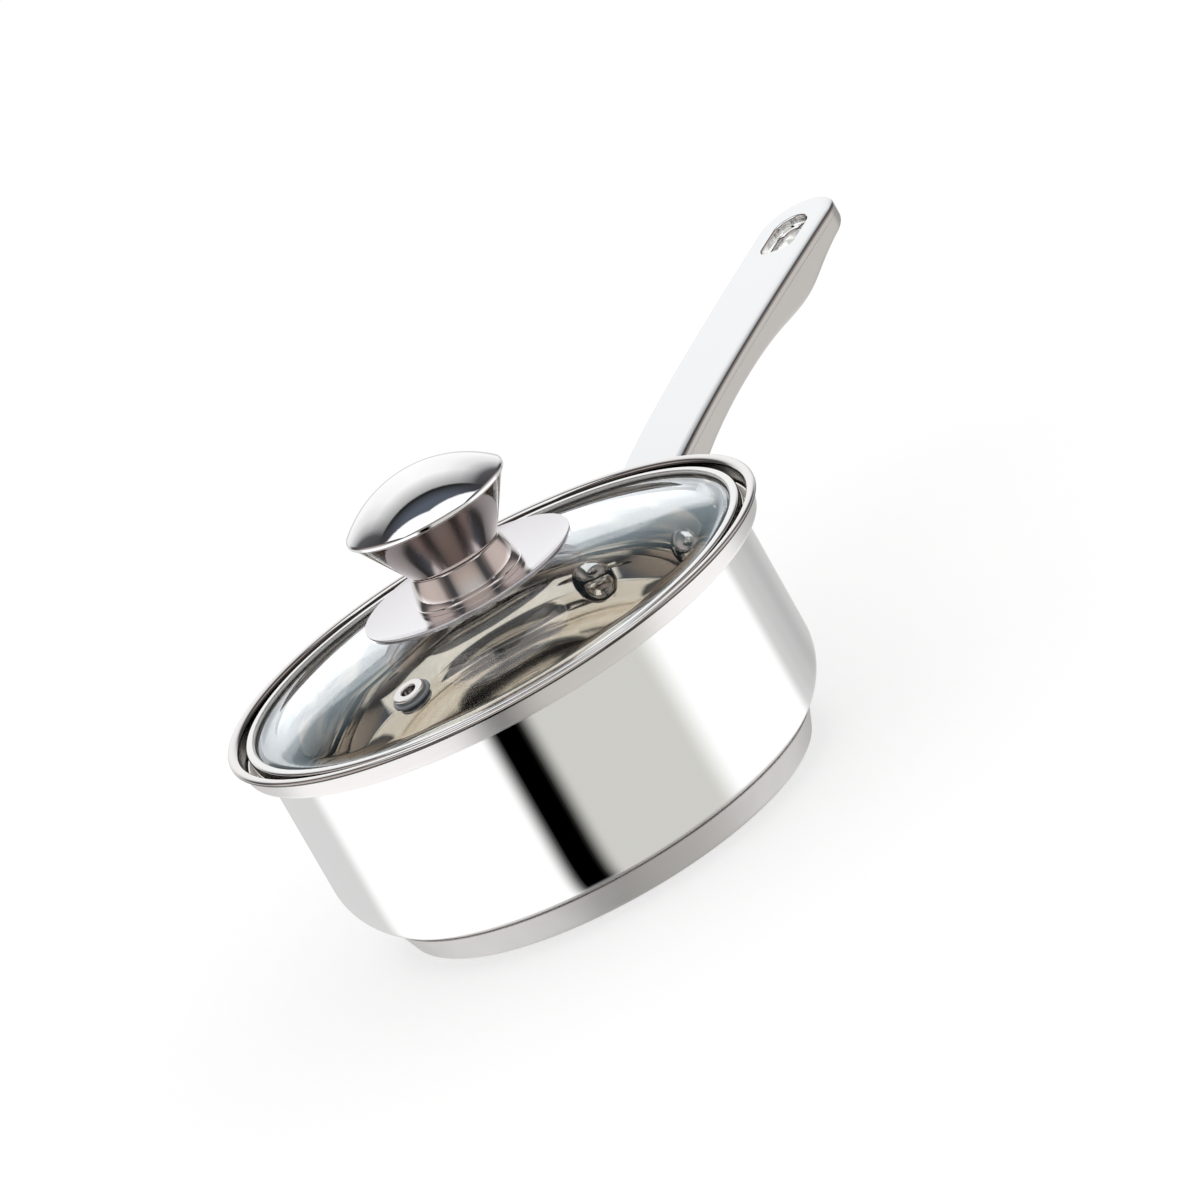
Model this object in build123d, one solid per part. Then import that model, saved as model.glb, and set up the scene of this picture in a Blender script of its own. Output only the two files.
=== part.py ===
from build123d import *

import os
from math import asin, atan2, cos, degrees, exp, sqrt

# Saucepan with a glass lid, in millimetres, +Z up. The origin is the centre of the base's underside.
# The handle points along +X, and the lid's steam vent lies nearly opposite it.

# Pan body: one drawn sheet
PAN_SHEET = 0.8
WALL_RADIUS = 80.0
FLOOR_HEIGHT = 6.0
CORNER_RADIUS = 22.0
SHOULDER_HEIGHT = 69.4
SHOULDER_BEND = 1.8
SHOULDER_STEP = 5.65
BAND_TALL = 7.7
LIP_REACH = 2.45
LIP_DROP = 1.4
LIP_BEND = 0.9

# Base: an aluminium core in a stamped cap
CAP_SHEET = 0.6
CAP_HEIGHT = 9.4
CAP_FLARE = 3.65
CAP_FOOT_BEND = 3.2
BOND_GAP = 0.05

# Lid band, gasket and glass
BAND_PLAY = 2.5
RIM_SHEET = 0.5
RIM_FLANGE = 2.4
RIM_BEND = 1.0
GASKET = 0.6
GASKET_LIP = 0.5
GLASS_THICKNESS = 4.0
GLASS_RISE = 11.7
GLASS_MARGIN = 6.6
GLASS_BLEND = 14.0
GLASS_HOLE_DIAMETER = 9.0

# Steam vent
VENT_DISTANCE = 54.8
VENT_AZIMUTH = 184.0
VENT_BORE = 4.6
VENT_TUBE_WALL = 0.8
VENT_FLANGE_DIAMETER = 10.4
VENT_FLANGE_HEIGHT = 1.5
VENT_SEAL_DIAMETER = 12.4
VENT_SEAL_HEIGHT = 0.9
VENT_SLEEVE_WALL = 0.7

# Knob and what clamps it
PLATE_RADIUS = 34.2
PLATE_SHEET = 0.7
PLATE_LIFT = 2.6
PLATE_EDGE = 1.3
SEAL_HEIGHT = 0.5
SEAL_RADIUS = 14.0
COLLAR_FLARE = 2.5
COLLAR_STEP = 0.5
COLLAR_FOOT = 1.4
COLLAR_HEIGHT = 10.6
NECK_RADIUS = 14.5
KNOB_SHEET = 0.9
KNOB_RADIUS = 26.0
CONE_HEIGHT = 16.9
CAP_RISE = 10.4
CAP_EDGE = 1.1
INSERT_DIAMETER = 10.0
INSERT_HEIGHT = 13.0
SCREW_DIAMETER = 5.0
SCREW_PLAY = 0.3
THREAD_PLAY = 0.05
SCREW_GRIP = 9.0
SCREW_HEAD_DIAMETER = 10.0
SCREW_HEAD_HEIGHT = 3.2
SLEEVE_PLAY = 0.2
WASHER_DIAMETER = 18.0
WASHER_SHEET = 1.2
WASHER_SEAL_HEIGHT = 1.0

# Handle: two stamped shells
HANDLE_LENGTH = 163.5
HANDLE_SHEET = 1.0
ROOT_WIDTH = 24.4
TIP_WIDTH = 28.0
TIP_RISE = 19.1
CLIMB = 0.10
ROOT_DIP = 8.6
DIP_LENGTH = 40.0
ROOT_DEPTH = 24.0
WAIST_DEPTH = 9.0
BELLY_DEPTH = 12.2
TIP_DEPTH = 8.6
TOP_EDGE = 1.8
BELLY_EDGE = 2.6
SEAM_DROP = 3.2
SEAM_GAP = 0.04
HOLE_FROM_TIP = 20.6
HOLE_LENGTH = 19.5
HOLE_WIDTH = 12.4
HOLE_HEEL_BEND = 3.2
HOLE_LIP = 0.8

# Bracket and rivets
BRACKET_SHEET = 2.2
BRACKET_WIDTH = 56.0
BRACKET_TALL = 27.0
BRACKET_CORNER = 8.0
BRACKET_DROP = 18.9
ROOT_GAP = 0.1
TONGUE_LENGTH = 22.0
TONGUE_PLAY = 0.2
RIVET_DROP = 1.0
RIVET_SPACING = 37.4
RIVET_HEAD_DIAMETER = 14.0
RIVET_HEAD_HEIGHT = 3.4
RIVET_SHANK = 5.0
RIVET_PLAY = 0.05
RIVET_TAIL_DIAMETER = 9.0
RIVET_TAIL_HEIGHT = 1.8


# What follows from them
BAND_RADIUS = WALL_RADIUS + SHOULDER_STEP
LIP_RADIUS = BAND_RADIUS + LIP_REACH
LIP_HEIGHT = SHOULDER_HEIGHT + BAND_TALL
COLLAR_RADIUS = NECK_RADIUS + COLLAR_FLARE
COLLAR_FOOT_RADIUS = COLLAR_RADIUS + COLLAR_STEP
SADDLE_RADIUS = WALL_RADIUS + BRACKET_SHEET
BRACKET_HEIGHT = SHOULDER_HEIGHT - BRACKET_DROP
RIVET_HEIGHT = BRACKET_HEIGHT - RIVET_DROP
HANDLE_TIP = SADDLE_RADIUS + HANDLE_LENGTH
TIP_HEIGHT = SHOULDER_HEIGHT + TIP_RISE
HOLE_CENTRE = HANDLE_TIP - HOLE_FROM_TIP


# ---------------------------------------------------------------- helpers
def sheet_section(corners, bends, thickness):
    """Section of a bent sheet: a line of corners with bend radii, and its parallel to the left."""
    path = [Vector(r, z) for r, z in corners]
    runs = [(b - a).normalized() for a, b in zip(path, path[1:])]
    lefts = [Vector(-run.Y, run.X) for run in runs]
    far = [path[0] + lefts[0] * thickness]
    far_bends = []
    for i, bend in enumerate(bends):
        shift = (lefts[i] + lefts[i + 1]) * (thickness / (1 + lefts[i].dot(lefts[i + 1])))
        far.append(path[i + 1] + shift)
        turns_left = runs[i].X * runs[i + 1].Y > runs[i].Y * runs[i + 1].X
        far_bends.append(bend - thickness if turns_left else bend + thickness)
    far.append(path[-1] + lefts[-1] * thickness)
    near_line = FilletPolyline(*path, radius=bends)
    far_line = FilletPolyline(*far, radius=far_bends)
    ends = [Line(path[0], far[0]), Line(path[-1], far[-1])]
    return make_face([*near_line.edges(), *far_line.edges(), *ends])


def outline_face(*lines):
    """Face inside a closed loop of lines and arcs."""
    return make_face([edge for line in lines for edge in line.edges()])


def spun(section):
    """Revolve a section drawn as (radius, height) about the vertical axis."""
    return revolve(Plane.XZ * section, Axis.Z, 360)


def dome_height(apex, radius, r):
    """Height of a dome at the distance r from its axis."""
    return apex - radius + sqrt(radius**2 - r**2)


def dome_arc(apex, radius, start, end):
    """Arc of a dome's section between two distances from its axis."""
    middle = (start + end) / 2
    return ThreePointArc(*[(r, dome_height(apex, radius, r)) for r in (start, middle, end)])


# ---------------------------------------------------------------- pan body
def pan_body():
    """Drawn sheet: flat floor, large corner, wall, stepped shoulder, band and turned-over lip."""
    underside = LIP_HEIGHT - PAN_SHEET
    overhang = LIP_RADIUS - PAN_SHEET
    corners = [
        (0, FLOOR_HEIGHT),
        (WALL_RADIUS, FLOOR_HEIGHT),
        (WALL_RADIUS, SHOULDER_HEIGHT),
        (BAND_RADIUS, SHOULDER_HEIGHT),
        (BAND_RADIUS, underside),
        (overhang, underside),
        (overhang, LIP_HEIGHT - LIP_DROP),
    ]
    bends = [CORNER_RADIUS, SHOULDER_BEND / 2, SHOULDER_BEND, LIP_BEND, LIP_BEND / 4]
    body = spun(sheet_section(corners, bends, PAN_SHEET))
    return body - [rivet_drill(side) for side in (-1, 1)]


# ---------------------------------------------------------------- base
CORNER_CENTRE = (WALL_RADIUS - CORNER_RADIUS, FLOOR_HEIGHT + CORNER_RADIUS)
CAP_DROP = CORNER_CENTRE[1] - CAP_HEIGHT
CAP_TOP_RADIUS = CORNER_CENTRE[0] + sqrt((CORNER_RADIUS + BOND_GAP) ** 2 - CAP_DROP**2) + CAP_SHEET
CAP_FOOT_RADIUS = CAP_TOP_RADIUS - CAP_FLARE


def under_corner(section):
    """What is left of a section once the pan's corner, with its bond gap, is taken out of it."""
    rest = section - Pos(*CORNER_CENTRE) * Circle(CORNER_RADIUS + BOND_GAP)
    return rest.faces().sort_by(SortBy.AREA)[-1]


def base_cap():
    """Stamped cap: flat foot, rounded edge and a side that widens up to the pan's corner."""
    corners = [(0, 0), (CAP_FOOT_RADIUS, 0), (CAP_TOP_RADIUS, CAP_HEIGHT)]
    return spun(under_corner(sheet_section(corners, [CAP_FOOT_BEND], CAP_SHEET)))


def base_core():
    """Disc that fills the cap up to the pan's floor and corner."""
    lean = atan2(CAP_FLARE, CAP_HEIGHT)
    inset = (CAP_SHEET + BOND_GAP) / cos(lean)
    foot = CAP_FOOT_RADIUS - inset + CAP_SHEET * CAP_FLARE / CAP_HEIGHT
    side = FilletPolyline(
        (0, CAP_SHEET),
        (foot, CAP_SHEET),
        (CAP_TOP_RADIUS - inset, CAP_HEIGHT),
        radius=[CAP_FOOT_BEND - CAP_SHEET],
    )
    top = Polyline((CAP_TOP_RADIUS - inset, CAP_HEIGHT), (0, CAP_HEIGHT), (0, CAP_SHEET))
    above_floor = Pos(0, FLOOR_HEIGHT + CAP_HEIGHT) * Rectangle(2 * CORNER_CENTRE[0], 2 * CAP_HEIGHT)
    return spun(under_corner(outline_face(side, top) - above_floor))


# ---------------------------------------------------------------- rivets
RIVET_ANGLE = degrees(asin(RIVET_SPACING / 2 / WALL_RADIUS))


def rivet_place(side):
    """Frame of one rivet: its +Z runs outwards through the wall, square to it."""
    return Pos(0, 0, RIVET_HEIGHT) * Rot(0, 0, side * RIVET_ANGLE) * Rot(0, 90, 0)


def rivet_drill(side):
    """Drill for one rivet, through the wall and the bracket."""
    length = 4 * RIVET_HEAD_HEIGHT
    drill = Cylinder(RIVET_SHANK / 2 + RIVET_PLAY, length)
    return rivet_place(side) * Pos(0, 0, WALL_RADIUS) * drill


def button(rim, seat, rise):
    """Section lines of a low dome that stands on a seat: out from the axis and down its side."""
    bulge = (rim**2 + rise**2) / (2 * abs(rise))
    middle = seat + rise * (1 - (bulge - sqrt(bulge**2 - rim**2 / 4)) / abs(rise))
    return ThreePointArc((0, seat + rise), (rim / 2, middle), (rim, seat))


def rivet(side):
    """Domed head inside the wall, shank, and the tail that is set outside the bracket."""
    head, tail, shank = RIVET_HEAD_DIAMETER / 2, RIVET_TAIL_DIAMETER / 2, RIVET_SHANK / 2
    seat = sqrt((WALL_RADIUS - PAN_SHEET) ** 2 - head**2)
    section = outline_face(
        button(head, seat, -RIVET_HEAD_HEIGHT),
        Polyline((head, seat), (shank, seat), (shank, SADDLE_RADIUS), (tail, SADDLE_RADIUS)),
        button(tail, SADDLE_RADIUS, RIVET_TAIL_HEIGHT),
        Line((0, SADDLE_RADIUS + RIVET_TAIL_HEIGHT), (0, seat - RIVET_HEAD_HEIGHT)),
    )
    return rivet_place(side) * spun(section)


# ---------------------------------------------------------------- handle
def top_height(x):
    """Height of the handle's top: an even climb to the tip, with a dip that dies away from the pan."""
    return TIP_HEIGHT - CLIMB * (HANDLE_TIP - x) - ROOT_DIP * exp((SADDLE_RADIUS - x) / DIP_LENGTH)


ROOT_START = SADDLE_RADIUS - BRACKET_WIDTH / 8
PAST_TIP = HANDLE_TIP + TIP_WIDTH / 4
BELLY_END = HOLE_CENTRE - HOLE_LENGTH / 2 - 0.8 * BELLY_DEPTH


def top_points(drop):
    """Points of a line that runs a drop below the handle's top, from behind the root to past the tip."""
    steps = 7
    xs = [ROOT_START + (PAST_TIP - ROOT_START) * k / (steps - 1) for k in range(steps)]
    return [(x, top_height(x) - drop) for x in xs]


def underside_points(lift):
    """The underside, raised by a lift: flared root, waist, belly for the fingers, step and flat tip."""
    span = BELLY_END - SADDLE_RADIUS
    stations = [
        (ROOT_START, 1.3 * ROOT_DEPTH),
        (SADDLE_RADIUS, ROOT_DEPTH),
        (SADDLE_RADIUS + 0.15 * span, (ROOT_DEPTH + 2 * WAIST_DEPTH) / 3),
        (SADDLE_RADIUS + 0.32 * span, 1.15 * WAIST_DEPTH),
        (SADDLE_RADIUS + 0.56 * span, WAIST_DEPTH),
        (SADDLE_RADIUS + 0.82 * span, (WAIST_DEPTH + BELLY_DEPTH) / 2),
        (BELLY_END, BELLY_DEPTH),
        (BELLY_END + BELLY_DEPTH, 1.2 * TIP_DEPTH),
        (HOLE_CENTRE + TIP_DEPTH, TIP_DEPTH),
        (PAST_TIP, TIP_DEPTH),
    ]
    return [(x, top_height(x) - depth + lift) for x, depth in stations]


def side_slab(upper, lower):
    """Slab as wide as any part of the handle, between an upper and a lower line of its side view."""
    outline = outline_face(
        Spline(*upper),
        Line(upper[-1], lower[-1]),
        Spline(*lower),
        Line(lower[0], upper[0]),
    )
    return extrude(Plane.XZ.offset(-TIP_WIDTH) * outline, 2 * TIP_WIDTH)


def handle_plan(inset):
    """Plan of the handle, drawn in by an inset: a slow taper that ends in a half round."""
    root, tip = ROOT_WIDTH / 2 - inset, TIP_WIDTH / 2 - inset
    start, shoulder = ROOT_START, HANDLE_TIP - TIP_WIDTH / 2
    return outline_face(
        Polyline((shoulder, tip), (start, root), (start, -root), (shoulder, -tip)),
        ThreePointArc((shoulder, -tip), (shoulder + tip, 0), (shoulder, tip)),
    )


def handle_form(inset):
    """The handle as a solid with sharp edges, drawn in by an inset on every side."""
    return side_slab(top_points(inset), underside_points(inset)) & extrude(handle_plan(inset), 2 * TIP_HEIGHT)


def long_edges(form, up):
    """Edges of a form's top or underside, apart from those at its open root."""
    faces = form.faces().filter_by(lambda face: up * face.normal_at().Z > 0.5)
    return [edge for edge in faces.edges() if edge.center().X > ROOT_START + HANDLE_SHEET]


def hang_hole(grow):
    """Prism of the hang hole, grown by a wall: a slot with a half round towards the tip."""
    half, heel = HOLE_WIDTH / 2 + grow, HOLE_CENTRE - HOLE_LENGTH / 2 - grow
    turn = HOLE_CENTRE + HOLE_LENGTH / 2 - HOLE_WIDTH / 2
    outline = outline_face(
        FilletPolyline(
            (turn, half), (heel, half), (heel, -half), (turn, -half), radius=[HOLE_HEEL_BEND + grow] * 2
        ),
        ThreePointArc((turn, -half), (turn + half, 0), (turn, half)),
    )
    return extrude(outline, 2 * TIP_HEIGHT)


def handle_shell():
    """Both stamped halves as one hollow shell, open at the root, with the hang hole's collar."""
    outer = handle_form(0)
    outer = fillet(long_edges(outer, 1), TOP_EDGE)
    outer = fillet(long_edges(outer, -1), BELLY_EDGE)
    shell = outer - handle_form(HANDLE_SHEET) + (outer & hang_hole(HANDLE_SHEET))
    shell -= hang_hole(0)
    return shell - Cylinder(SADDLE_RADIUS + ROOT_GAP, 4 * TIP_HEIGHT)


def round_hole(shell, up):
    """Round the hang hole's rim where it meets the top or the underside."""
    faces = shell.faces().filter_by(lambda face: up * face.normal_at().Z > 0.5)
    rims = [wire for face in faces for wire in face.inner_wires()]
    return fillet([edge for wire in rims for edge in wire.edges()], HOLE_LIP)


def handle_cover():
    """Upper half: crowned edges, and a collar that runs down from the hang hole to the seam."""
    half = handle_shell() & side_slab(top_points(-TIP_DEPTH), top_points(SEAM_DROP - SEAM_GAP / 2))
    return round_hole(half, 1)


def handle_tray():
    """Lower half: side walls, flared root, belly, and a collar that runs up to the seam."""
    lower = underside_points(-TIP_DEPTH)
    half = handle_shell() & side_slab(top_points(SEAM_DROP + SEAM_GAP / 2), lower)
    return round_hole(half, -1)


def handle_bracket():
    """Saddle plate curved to the wall, with a tongue that fills the handle's root."""
    ring = Cylinder(SADDLE_RADIUS, BRACKET_TALL) - Cylinder(WALL_RADIUS, BRACKET_TALL)
    outline = Plane.YZ * RectangleRounded(BRACKET_WIDTH, BRACKET_TALL, BRACKET_CORNER)
    plate = Pos(0, 0, BRACKET_HEIGHT) * (ring & extrude(outline, 2 * WALL_RADIUS))
    plate -= [rivet_drill(side) for side in (-1, 1)]
    start = SADDLE_RADIUS - BRACKET_SHEET / 2
    window = Pos(start + TONGUE_LENGTH / 2, 0, TIP_HEIGHT / 2) * Box(TONGUE_LENGTH, TIP_WIDTH, TIP_HEIGHT)
    return plate + (handle_form(HANDLE_SHEET + TONGUE_PLAY) & window)


# ---------------------------------------------------------------- lid: band, gasket and glass
SEAT = SHOULDER_HEIGHT + PAN_SHEET
RIM_RADIUS = BAND_RADIUS - PAN_SHEET - BAND_PLAY
RIM_TOP = SEAT + GLASS_THICKNESS + 2 * GASKET + 2 * RIM_SHEET
RIM_MOUTH = RIM_RADIUS - RIM_FLANGE
GLASS_RADIUS = RIM_RADIUS - RIM_SHEET - GASKET
GLASS_EDGE_TOP = RIM_TOP - RIM_SHEET - GASKET
GLASS_APEX = GLASS_EDGE_TOP + GLASS_RISE
GLASS_UNDER_APEX = GLASS_APEX - GLASS_THICKNESS
GLASS_JOINT = GLASS_RADIUS - GLASS_MARGIN
GLASS_DOME_RADIUS = (GLASS_JOINT**2 + GLASS_RISE**2) / (2 * GLASS_RISE)
GLASS_UNDER_RADIUS = GLASS_DOME_RADIUS - GLASS_THICKNESS


def lid_rim():
    """C-section band: flange under the glass, upright, and flange over it."""
    corners = [(RIM_MOUTH, SEAT), (RIM_RADIUS, SEAT), (RIM_RADIUS, RIM_TOP), (RIM_MOUTH, RIM_TOP)]
    return spun(sheet_section(corners, [RIM_BEND, RIM_BEND], RIM_SHEET))


def rim_seal():
    """U-section gasket that lines the band and shows as a thin lip inside it."""
    outer, inner = RIM_RADIUS - RIM_SHEET, RIM_MOUTH - GASKET_LIP
    low, high = SEAT + RIM_SHEET, RIM_TOP - RIM_SHEET
    corner = RIM_BEND - RIM_SHEET
    around = FilletPolyline((inner, low), (outer, low), (outer, high), (inner, high), radius=[corner] * 2)
    within = Polyline(
        (inner, high),
        (inner, GLASS_EDGE_TOP),
        (GLASS_RADIUS, GLASS_EDGE_TOP),
        (GLASS_RADIUS, GLASS_EDGE_TOP - GLASS_THICKNESS),
        (inner, GLASS_EDGE_TOP - GLASS_THICKNESS),
        (inner, low),
    )
    return spun(outline_face(around, within))


def lid_glass():
    """Domed glass of even thickness that blends into a flat edge, with holes for knob and vent."""
    hole, low = GLASS_HOLE_DIAMETER / 2, GLASS_EDGE_TOP - GLASS_THICKNESS
    under_joint = sqrt(GLASS_UNDER_RADIUS**2 - (GLASS_UNDER_RADIUS - GLASS_RISE) ** 2)
    section = outline_face(
        dome_arc(GLASS_APEX, GLASS_DOME_RADIUS, hole, GLASS_JOINT),
        Polyline((GLASS_JOINT, GLASS_EDGE_TOP), (GLASS_RADIUS, GLASS_EDGE_TOP)),
        Polyline((GLASS_RADIUS, GLASS_EDGE_TOP), (GLASS_RADIUS, low), (under_joint, low)),
        dome_arc(GLASS_UNDER_APEX, GLASS_UNDER_RADIUS, hole, under_joint),
        Line(
            (hole, dome_height(GLASS_UNDER_APEX, GLASS_UNDER_RADIUS, hole)),
            (hole, dome_height(GLASS_APEX, GLASS_DOME_RADIUS, hole)),
        ),
    )
    section = fillet(section.vertices().sort_by_distance((GLASS_JOINT, GLASS_EDGE_TOP))[0], GLASS_BLEND)
    under = section.vertices().sort_by_distance((under_joint, low))[0]
    return spun(fillet(under, GLASS_BLEND + GLASS_THICKNESS)) - vent_drill()


# ---------------------------------------------------------------- steam vent
VENT_TUBE = VENT_BORE / 2 + VENT_TUBE_WALL
VENT_SLEEVE = VENT_TUBE + VENT_SLEEVE_WALL
VENT_SAG = VENT_FLANGE_DIAMETER**2 / (8 * GLASS_UNDER_RADIUS)


def vent_place():
    """Frame of the vent: origin on the glass's top, +Z square to it."""
    height = dome_height(GLASS_APEX, GLASS_DOME_RADIUS, VENT_DISTANCE)
    tilt = degrees(asin(VENT_DISTANCE / GLASS_DOME_RADIUS))
    return Rot(0, 0, VENT_AZIMUTH) * Pos(VENT_DISTANCE, 0, height) * Rot(0, tilt, 0)


def vent_drill():
    """Hole in the glass for the vent's sleeve."""
    return vent_place() * Cylinder(VENT_SLEEVE + VENT_SLEEVE_WALL / 4, 4 * GLASS_THICKNESS)


def vent_seal():
    """Soft grommet: a ring on the glass and a sleeve down through it."""
    outer, tube = VENT_SEAL_DIAMETER / 2, VENT_TUBE + THREAD_PLAY
    line = Polyline(
        (tube, -GLASS_THICKNESS),
        (VENT_SLEEVE, -GLASS_THICKNESS),
        (VENT_SLEEVE, 0),
        (outer, 0),
        (outer, VENT_SEAL_HEIGHT),
        (tube, VENT_SEAL_HEIGHT),
        close=True,
    )
    return vent_place() * spun(make_face(line))


def vent_eyelet():
    """Tubular eyelet: rolled flange on top, tube through the glass, edge clinched underneath."""
    bore, flange = VENT_BORE / 2, VENT_FLANGE_DIAMETER / 2
    base, top = VENT_SEAL_HEIGHT, VENT_SEAL_HEIGHT + VENT_FLANGE_HEIGHT
    ring_low = -GLASS_THICKNESS - VENT_SAG - VENT_TUBE_WALL
    foot = ring_low - VENT_TUBE_WALL / 2
    round_top = (VENT_FLANGE_HEIGHT - VENT_TUBE_WALL / 4) / 2
    line = FilletPolyline(
        (bore, foot),
        (VENT_SLEEVE, foot),
        (VENT_SLEEVE, ring_low),
        (VENT_TUBE, ring_low),
        (VENT_TUBE, base),
        (flange, base),
        (flange, top),
        (bore, top),
        radius=[VENT_TUBE_WALL / 4, 0, 0, 0, 0, round_top, round_top, 0],
        close=True,
    )
    return vent_place() * spun(make_face(line))


def vent_back_ring():
    """Ring under the glass that the eyelet is clinched against."""
    high = -GLASS_THICKNESS - VENT_SAG
    ring = Circle(VENT_FLANGE_DIAMETER / 2) - Circle(VENT_TUBE + THREAD_PLAY)
    return vent_place() * Pos(0, 0, high - VENT_TUBE_WALL) * extrude(ring, VENT_TUBE_WALL)


# ---------------------------------------------------------------- knob
SCREW_HOLE = SCREW_DIAMETER / 2 + SCREW_PLAY
PLATE_UNDERSIDE = GLASS_APEX + SEAL_HEIGHT
PLATE_TOP = PLATE_UNDERSIDE + PLATE_SHEET
NECK_HEIGHT = PLATE_TOP + COLLAR_HEIGHT
CONE_TOP = NECK_HEIGHT + CONE_HEIGHT
SEAL_TOP_UNDER = GLASS_UNDER_APEX - WASHER_SEAL_HEIGHT
WASHER_LOW = SEAL_TOP_UNDER - WASHER_SHEET


def knob_plate():
    """Stamped saucer: flat seat under the foot, then one arc that swings up to an edge turned down."""
    inner = PLATE_RADIUS - PLATE_SHEET
    reach = inner - COLLAR_FOOT_RADIUS
    under = (reach**2 + PLATE_LIFT**2) / (2 * PLATE_LIFT)
    above = under - PLATE_SHEET

    def swing(r, radius):
        """Point at the distance r on an arc about the point that is straight above the seat's edge."""
        return (r, PLATE_UNDERSIDE + under - sqrt(radius**2 - (r - COLLAR_FOOT_RADIUS) ** 2))

    middle = COLLAR_FOOT_RADIUS + reach / 2
    seat_under, seat_above = swing(COLLAR_FOOT_RADIUS, under), swing(COLLAR_FOOT_RADIUS, above)
    edge_under, edge_above = swing(inner, under), swing(PLATE_RADIUS, above)
    low = edge_under[1] + PLATE_SHEET - PLATE_EDGE
    section = outline_face(
        ThreePointArc(seat_under, swing(middle, under), edge_under),
        Polyline(edge_under, (inner, low), (PLATE_RADIUS, low), edge_above),
        ThreePointArc(edge_above, swing(middle, above), seat_above),
        Polyline(seat_above, (SCREW_HOLE, PLATE_TOP), (SCREW_HOLE, PLATE_UNDERSIDE), seat_under),
    )
    rim = section.vertices().sort_by_distance(edge_above)[0]
    return spun(fillet(rim, PLATE_SHEET / 2))


def knob_seal():
    """Soft washer between the disc's flat seat and the domed glass."""
    start = GLASS_HOLE_DIAMETER / 2
    section = outline_face(
        dome_arc(GLASS_APEX, GLASS_DOME_RADIUS, start, SEAL_RADIUS),
        Polyline(
            (SEAL_RADIUS, dome_height(GLASS_APEX, GLASS_DOME_RADIUS, SEAL_RADIUS)),
            (SEAL_RADIUS, PLATE_UNDERSIDE),
            (start, PLATE_UNDERSIDE),
            (start, dome_height(GLASS_APEX, GLASS_DOME_RADIUS, start)),
        ),
    )
    return spun(section)


def knob_collar():
    """Foot of the knob: a flat ring on the disc, then a bell that swells out from the neck."""
    bell_foot = PLATE_TOP + COLLAR_FOOT
    bell_middle = (bell_foot + NECK_HEIGHT) / 2
    section = outline_face(
        Polyline(
            (NECK_RADIUS, NECK_HEIGHT),
            (SCREW_HOLE, NECK_HEIGHT),
            (SCREW_HOLE, PLATE_TOP),
            (COLLAR_FOOT_RADIUS, PLATE_TOP),
            (COLLAR_FOOT_RADIUS, bell_foot),
            (COLLAR_RADIUS, bell_foot),
        ),
        ThreePointArc(
            (COLLAR_RADIUS, bell_foot),
            (NECK_RADIUS + 0.68 * COLLAR_FLARE, bell_middle),
            (NECK_RADIUS, NECK_HEIGHT),
        ),
    )
    rim = section.vertices().sort_by_distance((COLLAR_FOOT_RADIUS, bell_foot))[0]
    return spun(fillet(rim, COLLAR_STEP / 2))


def knob_body():
    """Hollow cone on a flat bottom, with a small step under the cap."""
    shoulder = KNOB_RADIUS - KNOB_SHEET
    corners = [
        (SCREW_HOLE, NECK_HEIGHT),
        (NECK_RADIUS, NECK_HEIGHT),
        (shoulder, CONE_TOP),
    ]
    return spun(sheet_section(corners, [2 * KNOB_SHEET], KNOB_SHEET))


def knob_cap():
    """Domed cap whose edge stands over the cone's top."""
    low = CONE_TOP + KNOB_SHEET / 2
    edge = low + CAP_EDGE
    dome = (KNOB_RADIUS**2 + CAP_RISE**2) / (2 * CAP_RISE)
    apex = edge + CAP_RISE
    under_edge = KNOB_RADIUS - KNOB_SHEET
    under_apex = apex - KNOB_SHEET
    section = outline_face(
        dome_arc(apex, dome, 0, KNOB_RADIUS),
        Polyline((KNOB_RADIUS, edge), (KNOB_RADIUS, low), (under_edge, low)),
        Line((under_edge, low), (under_edge, dome_height(under_apex, dome - KNOB_SHEET, under_edge))),
        dome_arc(under_apex, dome - KNOB_SHEET, 0, under_edge),
        Line((0, under_apex), (0, apex)),
    )
    return spun(section)


def knob_insert():
    """Threaded boss fixed to the inside of the cone's bottom."""
    low = NECK_HEIGHT + KNOB_SHEET
    boss = Circle(INSERT_DIAMETER / 2) - Circle(SCREW_DIAMETER / 2 + THREAD_PLAY)
    return Pos(0, 0, low) * extrude(boss, INSERT_HEIGHT)


def washer_seal():
    """Soft washer under the glass, with a sleeve that centres the screw in the glass."""
    outer, sleeve = WASHER_DIAMETER / 2, GLASS_HOLE_DIAMETER / 2 - SLEEVE_PLAY
    section = outline_face(
        Polyline(
            (sleeve, dome_height(GLASS_UNDER_APEX, GLASS_UNDER_RADIUS, sleeve)),
            (sleeve, GLASS_APEX),
            (SCREW_HOLE, GLASS_APEX),
            (SCREW_HOLE, SEAL_TOP_UNDER),
            (outer, SEAL_TOP_UNDER),
            (outer, dome_height(GLASS_UNDER_APEX, GLASS_UNDER_RADIUS, outer)),
        ),
        dome_arc(GLASS_UNDER_APEX, GLASS_UNDER_RADIUS, sleeve, outer),
    )
    return spun(section)


def knob_washer():
    """Steel washer under the soft one."""
    ring = Circle(WASHER_DIAMETER / 2) - Circle(SCREW_HOLE)
    washer = extrude(ring, WASHER_SHEET)
    return Pos(0, 0, WASHER_LOW) * washer


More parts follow.
